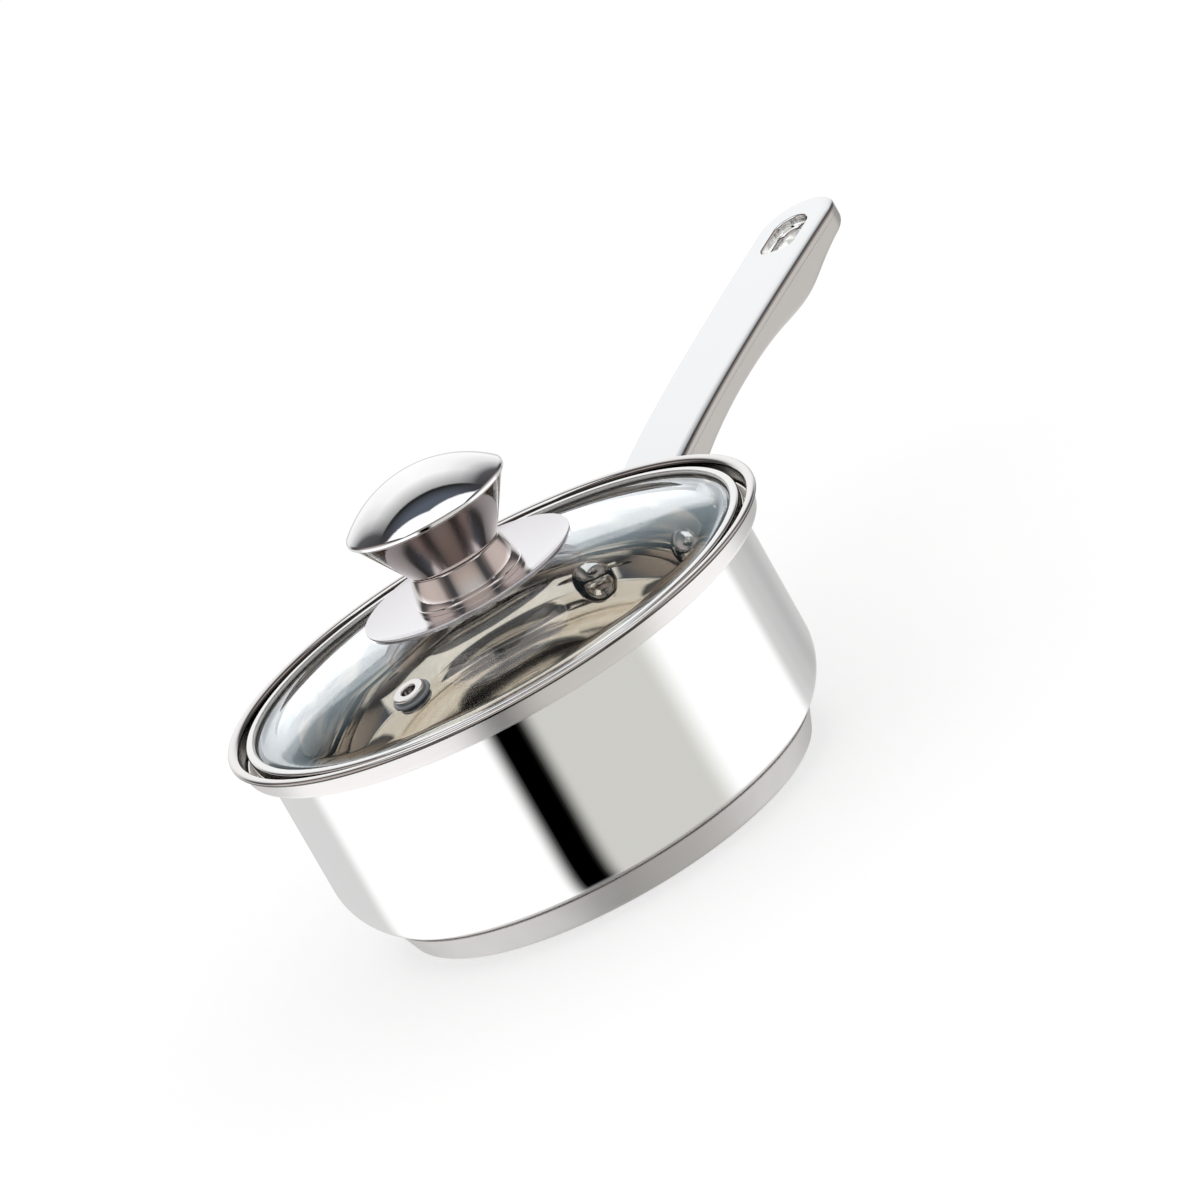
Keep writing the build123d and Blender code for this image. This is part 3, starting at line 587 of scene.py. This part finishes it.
# %% Put a grid into a mesh, and turn a profile
def as_piece(name, points, faces, materials, zones, body, stands_for, open_up=None):
    """A finished piece from points in millimetres, its faces turned outwards: by the sign of the
    volume on a closed shape, and towards open_up on the whole on an open one."""
    mesh = bpy.data.meshes.new(name)
    mesh.from_pydata((points * MM).tolist(), [], faces.tolist())
    for material in materials:
        mesh.materials.append(material)
    mesh.polygons.foreach_set("material_index", np.asarray(zones, np.int32))
    tool = bmesh.new()
    tool.from_mesh(mesh)
    bmesh.ops.remove_doubles(tool, verts=tool.verts, dist=1e-7)
    inward = tool.calc_volume(signed=True) < 0
    if open_up is not None:
        inward = sum(f.normal.dot(open_up) * f.calc_area() for f in tool.faces) < 0
    if inward:
        bmesh.ops.reverse_faces(tool, faces=tool.faces)
    tool.to_mesh(mesh)
    tool.free()
    mesh.shade_smooth()
    piece = bpy.data.objects.new(name, mesh)
    scene.collection.objects.link(piece)
    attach(piece, body)
    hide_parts(*stands_for)
    size = np.array(piece.dimensions) / MM
    print(f"{name}: {len(mesh.polygons)} faces, {size.round(1).tolist()} mm")
    return piece


def net_faces(rows, columns, first=0, around=False, closed=False):
    """Four-sided faces of a grid numbered row by row from first. around joins its last column to
    its first, and closed its last row to its first."""
    i = np.arange(rows if closed else rows - 1)[:, None]
    j = np.arange(columns if around else columns - 1)[None, :]
    below, right = (i + 1) % rows, (j + 1) % columns
    corners = [i * columns + j, i * columns + right, below * columns + right, below * columns + j]
    return np.stack(corners, -1).reshape(-1, 4) + first


def turned(name, loop, materials, body, stands_for, zones=None, closed=False, count=240,
           frame_at=None):
    """Solid of revolution: the loop of (distance, height) goes round the axis, and frame_at moves
    it into place. zones says which material each row of faces has."""
    loop = np.asarray(loop, float)
    rows = len(loop)
    angles = np.linspace(0, 2 * np.pi, count, endpoint=False)
    rings = loop[:, None, :1] * np.stack([np.cos(angles), np.sin(angles)], -1)
    heights = np.broadcast_to(loop[:, None, 1:], (rows, count, 1))
    points = np.concatenate([rings, heights], -1).reshape(-1, 3)
    if frame_at is not None:
        points = points @ frame_at[:3, :3].T + frame_at[:3, 3]
    faces = net_faces(rows, count, around=True, closed=closed)
    zones = np.zeros(rows, int) if zones is None else np.asarray(zones)
    zones = np.repeat(zones[: len(faces) // count], count)
    return as_piece(name, points, faces, materials, zones, body, stands_for)


print("ready to turn")

# %% [markdown]
# ## The pan
#
# The pan is one sheet, drawn deep in a press: a flat floor, a wide corner, the wall, a small step
# that seats the lid, a short upright band and a lip turned over. The wall is mirror polished, the
# band is softer, and the inside keeps the waves of the press. A mirror shows every edge of a
# coarse mesh, so this profile is finely divided.

# %% Pan
PAN_SHEET, FLOOR_LEVEL, STEP_LEVEL, LIP_LEVEL = 0.8, 6, 69.4, 76.3
STEP_OUT, LIP_OUT, LIP_DOWN = 85.65, 88.1, 0.6
turn_over = LIP_OUT - PAN_SHEET
path = [(0, FLOOR_LEVEL), (WALL_RADIUS, FLOOR_LEVEL), (WALL_RADIUS, STEP_LEVEL),
        (STEP_OUT, STEP_LEVEL), (STEP_OUT, LIP_LEVEL), (turn_over, LIP_LEVEL),
        (turn_over, LIP_LEVEL - LIP_DOWN)]
bends = [CORNER_BEND, 0.9, 1.8, 0.9, 0.225]
outside, within = sheet(path, bends, PAN_SHEET, reach=1.3, step=9.0)
loop = np.vstack([outside, within])
r, z = loop.T
inside = np.arange(len(loop)) >= len(outside) - 1
wall_no, band_no, lip_no, inside_no, floor_no, groove_shade_no = range(6)
FLOOR_BELOW, FLOOR_OUT, WALL_BELOW = 7.2, 60, 69.0
GROOVE_FROM, BAND_BELOW, LIP_FROM = 70.5, 75.6, 76.2
# From GROOVE_FROM up to the lip, the inside gets the painted groove shade.
finishes = [(inside & (z > LIP_FROM), lip_no), (inside & (z > GROOVE_FROM), groove_shade_no),
            (inside & (z < FLOOR_BELOW) & (r < FLOOR_OUT), floor_no), (inside, inside_no),
            (z < WALL_BELOW, wall_no), (z < BAND_BELOW, band_no)]
zones = np.select([where for where, _ in finishes], [number for _, number in finishes], lip_no)
turned("pan_shell", loop, [WALL, BAND, LIP, INSIDE, PAN_FLOOR_RINGS_AND_REFLECTION, PAINTED_GROOVE_SHADE], "pan",
       ["pan_body"], zones=zones, count=520)

# %% [markdown]
# ## The base
#
# Steel alone spreads heat badly, so a thick aluminium disc is bonded under the floor and closed
# in a stamped steel cap. The cap is satin: a foot gets scratched anyway. Its edge ends a hairline
# off the pan's corner, where that circle has come down by CAP_BELOW from its middle.

# %% Base cap and core
HAIRLINE, CAP_BELOW, CAP_SHEET, CAP_HEIGHT, CAP_LEAN, CAP_BEND = 0.05, 18.6, 0.6, 9.35, 3.65, 3.2
cap_inner = corner_axis + math.sqrt((CORNER_BEND + HAIRLINE) ** 2 - CAP_BELOW**2)
cap_rim = cap_inner + CAP_SHEET
foot = sheet([(0, 0), (cap_rim - CAP_LEAN, 0), (cap_rim, CAP_HEIGHT)], [CAP_BEND], CAP_SHEET)
turned("base_shell", np.vstack(foot), [FOOT], "pan", ["base_cap"], count=300)


def finish_nodes(material, *nodes):
    """Measured parts keep their own mesh and get a finish."""
    for node in nodes:
        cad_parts[node].data.materials.clear()
        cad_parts[node].data.materials.append(material)


finish_nodes(CORE, "base_core")

# %% [markdown]
# ## The lid's band and gasket
#
# A thin C-shaped band grips the edge of the glass through a soft gasket, which fills it. Its
# lower flange sits on the pan's step.

# %% Lid band and gasket
SEAT, BAND_OUT, BAND_HEIGHT, FLANGE, BAND_SHEET = 70.2, 82.35, 6.2, 2.4, 0.5
GRIP, GLASS_THICK, GASKET_SHOWS = 1.1, 4, 0.5
band_top, mouth = SEAT + BAND_HEIGHT, BAND_OUT - FLANGE
band = sheet([(mouth, SEAT), (BAND_OUT, SEAT), (BAND_OUT, band_top), (mouth, band_top)],
             [1.0, 1.0], BAND_SHEET)
turned("lid_band", np.vstack(band), [RIM], "lid", ["lid_rim"], closed=True, count=300)

edge_top, glass_edge = band_top - GRIP, BAND_OUT - GRIP
edge_low = edge_top - GLASS_THICK
gasket_in, gasket_out = mouth - GASKET_SHOWS, BAND_OUT - BAND_SHEET
gasket_low, gasket_top = SEAT + BAND_SHEET, band_top - BAND_SHEET
hug = rounded([(gasket_in, gasket_low), (gasket_out, gasket_low), (gasket_out, gasket_top),
               (gasket_in, gasket_top)], [0.5, 0.5])
nose = rounded([(gasket_in, gasket_top), (gasket_in, edge_top), (glass_edge, edge_top),
                (glass_edge, edge_low), (gasket_in, edge_low), (gasket_in, gasket_low)],
               [0, 0, 0, 0])
turned("lid_gasket", np.vstack([hug, nose[1:-1]]), [PALE_RUBBER], "lid",
       ["rim_seal"], closed=True, count=300)

# %% [markdown]
# ## The glass
#
# The glass is 4 mm thick everywhere: two arcs about one centre, which run into a flat edge. A
# hole takes the screw. The vent's hole is left out, as eyelet and clinch ring cover it.

# %% Glass dome
DOME_RISE, FLAT_EDGE, SCREW_HOLE, BEND_ABOVE, BEND_BELOW = 11.7, 6.6, 4.5, 14, 18
apex = edge_top + DOME_RISE
joint = glass_edge - FLAT_EDGE
dome_radius = (joint**2 + DOME_RISE**2) / (2 * DOME_RISE)
under_radius, under_apex = dome_radius - GLASS_THICK, apex - GLASS_THICK


def dome_into_edge(apex, radius, level, bend):
    """A dome's arc from the hole outwards, then a blend into the flat edge. The blend's centre is
    bend above the edge and radius + bend from the dome's centre."""
    up = level + bend - (apex - radius)
    out = math.sqrt((radius + bend) ** 2 - up**2)
    lean = math.atan2(out, up)
    angles = np.linspace(lean, 0, 10)[:, None]
    curve = np.hstack([out - bend * np.sin(angles), level + bend - bend * np.cos(angles)])
    return np.vstack([dome(apex, radius, SCREW_HOLE, radius * math.sin(lean), 60), curve[1:]])


top_line = dome_into_edge(apex, dome_radius, edge_top, BEND_ABOVE)
under_line = dome_into_edge(under_apex, under_radius, edge_low, BEND_BELOW)
edge_line = guarded((glass_edge, edge_top), (glass_edge, edge_low))
turned("glass_dome", np.vstack([top_line, edge_line, under_line[::-1]]), [GLASS], "lid",
       ["lid_glass"], closed=True, count=300)

# %% [markdown]
# ## The steam vent
#
# A small eyelet lets steam out: a tube with a rounded flange, set in a dark grommet and clinched
# underneath. It stands square to the sloping glass, so it is turned about an axis that leans.


# %% Vent
def leaning(distance, azimuth, height, tilt):
    """Frame at a distance and bearing from the pan's axis, its own axis tilted outwards."""
    out = np.array([math.cos(azimuth), math.sin(azimuth), 0])
    up, made = np.array([0, 0, 1.0]), np.eye(4)
    made[:3, 0] = out * math.cos(tilt) - up * math.sin(tilt)
    made[:3, 1] = -math.sin(azimuth), math.cos(azimuth), 0
    made[:3, 2] = out * math.sin(tilt) + up * math.cos(tilt)
    made[:3, 3] = out * distance + up * height
    return made


VENT_OUT, VENT_TURN, CLINCH_WIDE, CLINCH_THICK = 54.8, math.radians(184), 10.4, 0.8
vent_level = apex - dome_radius + math.sqrt(dome_radius**2 - VENT_OUT**2)
vent_at = leaning(VENT_OUT, VENT_TURN, vent_level, math.asin(VENT_OUT / dome_radius))
under_glass = -GLASS_THICK - CLINCH_WIDE**2 / (8 * under_radius)
ring_low = under_glass - CLINCH_THICK
tube_low = ring_low - 0.4
flange = rounded([(3.1, 0.9), (5.2, 0.9), (5.2, 2.4), (2.3, 2.4), (2.3, tube_low), (3.8, tube_low),
                  (3.8, ring_low), (3.1, ring_low), (3.1, 0.9)], [0.65, 0.65, 0.5, 0.15, 0, 0, 0])
grommet = rounded([(3.15, -GLASS_THICK), (3.8, -GLASS_THICK), (3.8, 0), (6.2, 0), (6.2, 0.9),
                   (3.15, 0.9), (3.15, -GLASS_THICK)], [0, 0, 0, 0.4, 0])
clinch = rounded([(3.15, ring_low), (5.2, ring_low), (5.2, under_glass), (3.15, under_glass),
                  (3.15, ring_low)], [0.2, 0.2, 0])
for name, line, finish, slot, node in (
    ("vent_eyelet_steel", flange, EYELET, "lid_steel", "vent_eyelet"),
    ("vent_grommet", grommet, VENT_RUBBER, "dark_silicone", "vent_seal"),
    ("vent_clinch_ring", clinch, RIM, "lid_steel", "vent_back_ring"),
):
    turned(name, line[:-1], [finish], "lid", [node], closed=True, count=96, frame_at=vent_at)

# %% [markdown]
# ## The knob's saucer
#
# The knob has a polished saucer whose edge swings up, a foot like a bell, a hollow cone and a
# domed cap. The saucer is one arc with its centre straight above the edge of its flat seat, so it
# leaves the seat without a crease.

# %% Saucer
SCREW_BORE, SAUCER_SHEET, SEAT_OUT, SAUCER_OUT, SAUCER_LIFT = 2.8, 0.7, 17.5, 34.2, 2.6
SEAL_THICK, HEM_DEEP = 0.5, 0.6
plate_under = apex + SEAL_THICK
plate_top = plate_under + SAUCER_SHEET
saucer_in = SAUCER_OUT - SAUCER_SHEET
bowl = ((saucer_in - SEAT_OUT) ** 2 + SAUCER_LIFT**2) / (2 * SAUCER_LIFT)


def swing(start, end, radius):
    """Arc of the saucer: height is bowl - sqrt(radius^2 - (distance - seat)^2) over its base."""
    r = np.linspace(start, end, 24)
    return np.column_stack([r, plate_under + bowl - np.sqrt(radius**2 - (r - SEAT_OUT) ** 2)])


below_seat = guarded((SCREW_BORE, plate_under), (SEAT_OUT, plate_under))
on_seat = guarded((SEAT_OUT, plate_top), (SCREW_BORE, plate_top))
saucer_below = np.vstack([below_seat, swing(SEAT_OUT, saucer_in, bowl)[1:]])
saucer_above = np.vstack([swing(SAUCER_OUT, SEAT_OUT, bowl - SAUCER_SHEET), on_seat[1:]])
hem_low = saucer_below[-1, 1] - HEM_DEEP
hem = rounded([saucer_below[-1], (saucer_in, hem_low), (SAUCER_OUT, hem_low), saucer_above[0],
               saucer_above[2]], [0.1, 0.1, 0.35], fine=15)
turned("knob_saucer", np.vstack([saucer_below[:-1], hem, saucer_above[3:]]), [PLATE], "lid",
       ["knob_plate"], closed=True)

# %% [markdown]
# ## The knob's foot and cone
#
# The foot swings in to the neck, and the cone of bent sheet opens again from there. The bell is
# the arc of a circle through its foot, a middle that lies a little inwards, and the neck.


# %% Foot and cone
def through(*points, count=16):
    """The circle's arc through three points a, b and c, as evenly turned points. In complex
    numbers, with w = (c - a) / (b - a), its centre is a + (b - a) (w - |w|^2) / (2i imag w)."""
    a, b, c = (complex(*point) for point in points)
    w = (c - a) / (b - a)
    centre = a + (b - a) * (w - abs(w) ** 2) / (2j * w.imag)
    angles = np.unwrap(np.angle(np.array([a, b, c]) - centre))
    arc = centre + abs(a - centre) * np.exp(1j * np.linspace(angles[0], angles[2], count))
    return np.column_stack([arc.real, arc.imag])


NECK_OUT, BELL_OUT, CONE_OUT, CONE_SHEET = 14.5, 17.0, 25.1, 0.9
BELL_HIGH, CONE_HIGH, BELL_STEP, MIDDLE_OUT = 10.6, 16.9, 1.4, 0.68
neck = plate_top + BELL_HIGH
cone_top = neck + CONE_HIGH
bell_foot = plate_top + BELL_STEP
mid_out = NECK_OUT + MIDDLE_OUT * (BELL_OUT - NECK_OUT)
bell = through((BELL_OUT, bell_foot), (mid_out, (bell_foot + neck) / 2), (NECK_OUT, neck))
ring = rounded([(SCREW_BORE, plate_top), (SEAT_OUT, plate_top), (SEAT_OUT, bell_foot),
                (BELL_OUT, bell_foot)], [0, 0.25])
lid_of_foot = guarded((NECK_OUT, neck), (SCREW_BORE, neck))
turned("knob_foot", np.vstack([ring[:-1], bell, lid_of_foot[1:]]), [COLLAR], "lid",
       ["knob_collar"], closed=True)
cone = sheet([(SCREW_BORE, neck), (NECK_OUT, neck), (CONE_OUT, cone_top)], [1.8], CONE_SHEET)
turned("knob_cone", np.vstack(cone), [SHADED_CONE], "lid", ["knob_body"], closed=True)

# %% [markdown]
# ## The knob's cap, and what hides inside
#
# The cap is a shallow dome with a crisp edge, pressed over the cone. A screw from below, washers
# and a threaded boss hold the knob. They hardly show and keep their measured shape.

# %% Cap and hidden parts
CAP_OUT, CAP_RISE, CAP_THICK, CAP_GAP, CAP_SIDE = 26, 10.4, 0.9, 0.45, 1.1
cap_low = cone_top + CAP_GAP
cap_edge = cap_low + CAP_SIDE
cap_radius = (CAP_OUT**2 + CAP_RISE**2) / (2 * CAP_RISE)
cap_apex = cap_edge + CAP_RISE
over_cap = dome(cap_apex, cap_radius, 0, CAP_OUT, 40)
side_down = rounded([over_cap[-1], (CAP_OUT, cap_low), (CONE_OUT, cap_low)], [0.25])
under_cap = dome(cap_apex - CAP_THICK, cap_radius - CAP_THICK, CONE_OUT, 0)
turned("knob_cap_steel", np.vstack([over_cap[:-1], side_down, under_cap]), [KNOB], "lid",
       ["knob_cap"])
finish_nodes(PLAIN, "knob_insert", "knob_screw", "knob_washer")
finish_nodes(DARK_RUBBER, "knob_seal", "washer_seal")
print("dome of the cap has a radius of", round(cap_radius, 2), "mm")

# %% [markdown]
# ## Rivets
#
# Two rivets hold the handle's plate, with low domed heads inside the wall and set tails outside.
# The vent's leaning frame serves here too: tilted by a right angle, its axis is level.


# %% Rivets
def button(rim, seat, height, count=14):
    """Low dome of a rivet, from crown to rim: a circle's arc with its centre on the axis."""
    bulge = (rim**2 + height**2) / (2 * abs(height))
    r = np.linspace(0, rim, count)
    crown = abs(height) - bulge + np.sqrt(bulge**2 - r**2)
    return np.column_stack([r, seat + np.sign(height) * crown])


HEAD, SHANK, TAIL, RIVET_ASIDE, RIVET_LEVEL, SADDLE = 7, 2.5, 4.5, 18.7, 49.5, 82.2
HEAD_HIGH, TAIL_HIGH = 3.4, 1.8
rivet_turn = math.asin(RIVET_ASIDE / WALL_RADIUS)
head_seat = math.sqrt((WALL_RADIUS - PAN_SHEET) ** 2 - HEAD**2)
shank = guarded((HEAD, head_seat), (SHANK, head_seat), (SHANK, SADDLE), (TAIL, SADDLE))
rivet_loop = np.vstack([button(HEAD, head_seat, -HEAD_HIGH), shank[1:-1],
                        button(TAIL, SADDLE, TAIL_HIGH)[::-1]])
for name, node, way in (("rivet_a", "rivet_left", 1), ("rivet_b", "rivet_right", -1)):
    turned(name, rivet_loop, [RIVET], "pan", [node], count=96,
           frame_at=leaning(0, way * rivet_turn, RIVET_LEVEL, math.pi / 2))

# %% [markdown]
# ## The handle
#
# The handle is two pressed halves welded along a seam: a crowned cover and a deeper tray. Its top
# climbs evenly, with a dip towards the pan. Its underside has a flared root, a waist, a belly for
# the fingers and a flat tip. Both halves have a collar round the hang hole. Heights come from two
# curves of the distance x alone, so any even net over the plan gives the right surface.


# %% Handle: its lines
def natural_curve(xs, ys):
    """Smooth curve through points, as a function: a cubic in each gap, slopes and bends that match
    at the joints, no bend at the ends. The bends solve one tridiagonal system."""
    xs, ys = np.asarray(xs, float), np.asarray(ys, float)
    gap, slope = np.diff(xs), np.diff(ys) / np.diff(xs)
    n = len(xs)
    system, wanted = np.eye(n), np.zeros(n)
    inner = np.arange(1, n - 1)
    system[inner, inner - 1], system[inner, inner + 1] = gap[:-1], gap[1:]
    system[inner, inner] = 2 * (gap[:-1] + gap[1:])
    wanted[1:-1] = 6 * np.diff(slope)
    bend = np.linalg.solve(system, wanted)

    def curve(x):
        k = np.clip(np.searchsorted(xs, x) - 1, 0, n - 2)
        a, b, h = xs[k + 1] - x, x - xs[k], gap[k]
        arcs = (bend[k] * a**3 + bend[k + 1] * b**3) / (6 * h)
        return arcs + (ys[k] / h - bend[k] * h / 6) * a + (ys[k + 1] / h - bend[k + 1] * h / 6) * b

    return curve


TIP, TIP_LEVEL, CLIMB, DIP, DIP_LENGTH = 245.7, 88.5, 0.10, 8.6, 40.0
HALF_ROOT, HALF_TIP, BEHIND_SADDLE = 12.2, 14.0, 7
ROOT, WAIST, BELLY, TIP_DEEP, FLAT_TIP = 24.0, 9.0, 12.2, 8.6, 20.6
HOLE_HALF, HEEL, HOLE_TURN, HEEL_BEND = 6.2, 215.35, 228.65, 3.2


def top_height(x):
    """The top: an even climb to the tip, and a dip that dies away from the pan."""
    return TIP_LEVEL - CLIMB * (TIP - x) - DIP * np.exp((SADDLE - x) / DIP_LENGTH)


belly = HEEL - 0.8 * BELLY
span = belly - SADDLE
waist_at = SADDLE + 0.56 * span
depth_at = [(SADDLE - BEHIND_SADDLE, 1.3 * ROOT), (SADDLE, ROOT),
            (SADDLE + 0.15 * span, (ROOT + 2 * WAIST) / 3), (SADDLE + 0.32 * span, 1.15 * WAIST),
            (waist_at, WAIST), (SADDLE + 0.82 * span, (WAIST + BELLY) / 2), (belly, BELLY),
            (belly + BELLY, 1.2 * TIP_DEEP), (TIP - FLAT_TIP + TIP_DEEP, TIP_DEEP),
            (TIP + BEHIND_SADDLE, TIP_DEEP)]
under_height = natural_curve([x for x, _ in depth_at], [top_height(x) - d for x, d in depth_at])
waist_depth = top_height(waist_at) - under_height(waist_at)
print("handle's depth at the waist", round(float(waist_depth), 2), "mm")

# %% [markdown]
# ## The handle's net
#
# Seen from above, the outline is a slow taper that ends in a half round. The net joins each of
# its points to the middle line, and near the tip to the hole's rim. Half of the net is worked
# out, and the other half is its mirror image.

# %% Handle: the net over its plan
ROOT_RADIUS, SPLIT, LIP_ROUND = 82.3, 208.0, 0.8
SHARE_LONG = np.linspace(0, 1, 60)[:-1]
SHARE_NEAR = np.linspace(0, 1, 56)


def taper(x):
    """Half width of the outline where it is straight."""
    start = SADDLE - BEHIND_SADDLE
    return HALF_ROOT + (HALF_TIP - HALF_ROOT) * (x - start) / (TIP - HALF_TIP - start)


def outline(inset):
    """Points of the outline, drawn in by an inset: the long straight part from the pan, then the
    part beside the hole and round the tip, each by share of its length."""
    start = np.sqrt(ROOT_RADIUS**2 - (taper(90) - inset) ** 2)
    x = start + (SPLIT - start) * SHARE_LONG
    straight = np.column_stack([x, taper(x) - inset])
    shoulder, radius = TIP - HALF_TIP, HALF_TIP - inset
    walked = SHARE_NEAR * (shoulder - SPLIT + radius * np.pi / 2)
    x = SPLIT + np.minimum(walked, shoulder - SPLIT)
    angle = np.pi / 2 - np.maximum(walked - (shoulder - SPLIT), 0) / radius
    round_tip = np.column_stack([shoulder + radius * np.cos(angle), radius * np.sin(angle)])
    side_line = np.column_stack([x, taper(x) - inset])
    near = np.where((walked > shoulder - SPLIT)[:, None], round_tip, side_line)
    return np.vstack([straight, near])


def hole_rim(grow):
    """Half of the hole's rim, grown outwards, from its heel to its far end, by share of length."""
    half, heel, bend = HOLE_HALF + grow, HEEL - grow, HEEL_BEND + grow
    line = rounded([(heel, 0), (heel, half), (HOLE_TURN, half)], [bend], fine=6)
    angle = np.linspace(np.pi / 2, 0, 24)[1:]
    far_end = np.column_stack([HOLE_TURN + half * np.cos(angle), half * np.sin(angle)])
    line = np.vstack([line, far_end])
    steps = np.linalg.norm(np.diff(line, axis=0), axis=1)
    walked = np.concatenate([[0], np.cumsum(steps)])
    at_share = SHARE_NEAR * walked[-1]
    return np.column_stack([np.interp(at_share, walked, line[:, k]) for k in (0, 1)])


def middle():
    """The net's inner ends: the middle line to the hole, then the hole's rim grown by its lip."""
    x = ROOT_RADIUS + (HEEL - LIP_ROUND - ROOT_RADIUS) * SHARE_LONG
    return np.vstack([np.column_stack([x, 0 * x]), hole_rim(LIP_ROUND)])


print("the outline has", len(outline(0)), "points on each side")

# %% [markdown]
# ## The handle's halves
#
# One function makes both halves, because the tray is a cover turned over. A line of the grid
# starts at the seam, climbs the side, turns over the rounded edge and crosses to the middle or to
# the hole. The collar is a second small grid, and Solidify gives the sheet its thickness.

# %% Handle: both halves
SEAM_UNDER_TOP, HALF_HAIRLINE, HANDLE_SHEET = 3.2, 0.02, 0.7
TURN = np.radians(np.arange(0, 91, 10.0))
SIDE = np.array([1, 0.985, 0.75, 0.5, 0.25, 0.08, 0.02])
CROSS = np.array([0.03, 0.1, 0.25, 0.45, 0.65, 0.85, 0.95, 1.0])
COLLAR_WAY, SIDE_ENDS = (0.05, 0.3, 0.65, 1.0), np.radians(25)


def seam_height(x, sign):
    """Height of the seam, with half of its hairline gap to the side of this half."""
    return top_height(x) - SEAM_UNDER_TOP + sign * HALF_HAIRLINE


def lowered(plan, height, drop):
    """Points over a plan, at the height of its x less a drop."""
    return np.column_stack([plan, height(plan[:, 0]) - drop])


def to_seam(line, share, sign):
    """A line of points moved that share of the way to the seam."""
    z = line[:, 2] + share * (seam_height(line[:, 0], sign) - line[:, 2])
    return np.column_stack([line[:, :2], z])


def with_mirror(rows):
    """Rows stacked into a grid that goes along one side and back along its mirror image."""
    net = np.stack(rows, 1)
    return np.concatenate([net, net[-2::-1] * (1, -1, 1)], 0)


def half_shell(name, height, across, down, sign, face_zone, node):
    """One half of the handle. height gives its face, across and down how far its rounding
    reaches. sign is 1 for the cover and -1 for the tray, whose steps go up. The side's satin
    steel, painted darker than the top as shade, reaches a little way over the rounding."""
    rows = [to_seam(lowered(outline(0), height, sign * down), share, sign) for share in SIDE]
    for a in TURN:
        drop = sign * down * (1 - np.sin(a))
        rows.append(lowered(outline(across * (1 - np.cos(a))), height, drop))
    outer, inner = rows[-1][:, :2], middle()
    rows += [lowered(outer + t * (inner - outer), height, 0) for t in CROSS]
    lips = [lowered(hole_rim(LIP_ROUND * (1 - np.sin(a))), height,
                    sign * LIP_ROUND * (1 - np.cos(a))) for a in TURN]
    lips += [to_seam(lips[-1], t, sign) for t in COLLAR_WAY]
    face, collar = with_mirror(rows), with_mirror(lips)
    side_columns = len(SIDE) + np.count_nonzero(TURN[1:] < SIDE_ENDS)
    by_column = [1] * side_columns + [face_zone] * (len(rows) - 1 - side_columns)
    points, faces, zones, first = [], [], [], 0
    for grid, of_column in ((face, by_column), (collar, [2] * (len(lips) - 1))):
        n, m = grid.shape[:2]
        points.append(grid.reshape(-1, 3))
        faces.append(net_faces(n, m, first)[:, [0, 3, 2, 1]])
        zones.append(np.tile(of_column, n - 1))
        first += n * m
    piece = as_piece(name, np.vstack(points), np.vstack(faces),
                     [HANDLE_TOP, HANDLE_SIDE_SATIN_SHADED, HOLE_STEEL], np.concatenate(zones), "pan",
                     [node], open_up=(0, 0, float(sign)))
    wall_of = piece.modifiers.new("sheet", "SOLIDIFY")
    wall_of.thickness = HANDLE_SHEET * MM
    wall_of.offset = -1


half_shell("handle_top_half", top_height, across=4.0, down=1.8, sign=1, face_zone=0,
           node="handle_cover")
half_shell("handle_lower_half", under_height, across=2.6, down=2.6, sign=-1, face_zone=1,
           node="handle_tray")

# %% [markdown]
# ## The plate behind the handle
#
# A curved plate with round corners hugs the wall and carries the handle's root. It is a net of
# rings: each is the plate's outline, shrunk, and bent onto the wall's cylinder.

# %% Saddle plate
PLATE_HALF_WIDE, PLATE_HALF_HIGH, PLATE_CORNER, PLATE_LEVEL = 28.0, 13.5, 8.0, 50.5
EDGE_ROUND, CONTACT, SIDE_ENDS_AT = 0.5, WALL_RADIUS + 0.01, (80.3, WALL_RADIUS + 0.02)


def saddle_outline():
    """A rectangle with round corners, as points all the way round."""
    quarter = np.linspace(0, np.pi / 2, 12)
    arc = np.column_stack([
        PLATE_HALF_WIDE - PLATE_CORNER + PLATE_CORNER * np.cos(quarter),
        PLATE_HALF_HIGH - PLATE_CORNER + PLATE_CORNER * np.sin(quarter),
    ])
    along_top = [(y, PLATE_HALF_HIGH) for y in (16, 12, 8, 4)]
    one = np.vstack([[(PLATE_HALF_WIDE, 0), (PLATE_HALF_WIDE, 2.5)], arc, along_top])
    upper = np.vstack([one, [(0, PLATE_HALF_HIGH)], one[::-1] * (-1, 1)])
    return np.vstack([upper, upper[1:-1][::-1] * (1, -1)])


def saddle_plate():
    """Rings from the middle of the front over a small rounding to the middle of the back. Each has
    a share of the outline, a trim and a radius, and x is sqrt(radius^2 - y^2)."""
    ring = saddle_outline()
    levels = [(share, 0, SADDLE) for share in (0, 0.25, 0.5, 0.75, 0.92, 0.985)]
    for a in np.radians(np.arange(0, 91, 15.0)):
        trim, fall = EDGE_ROUND * (1 - math.sin(a)), EDGE_ROUND * (1 - math.cos(a))
        levels.append((1, -trim, SADDLE - fall))
    levels += [(1, 0, radius) for radius in SIDE_ENDS_AT]
    levels += [(share, 0, CONTACT) for share in (0.985, 0.5, 0)]
    rings = []
    for share, trim, radius in levels:
        y, z = ((ring + np.sign(ring) * trim) * share).T
        rings.append(np.column_stack([np.sqrt(radius**2 - y**2), y, z + PLATE_LEVEL]))
    grid = np.stack(rings)
    quads = net_faces(*grid.shape[:2], around=True)
    as_piece("handle_plate", grid.reshape(-1, 3), quads, [HANDLE_TOP], np.zeros(len(quads)),
             "pan", ["handle_bracket"])


saddle_plate()
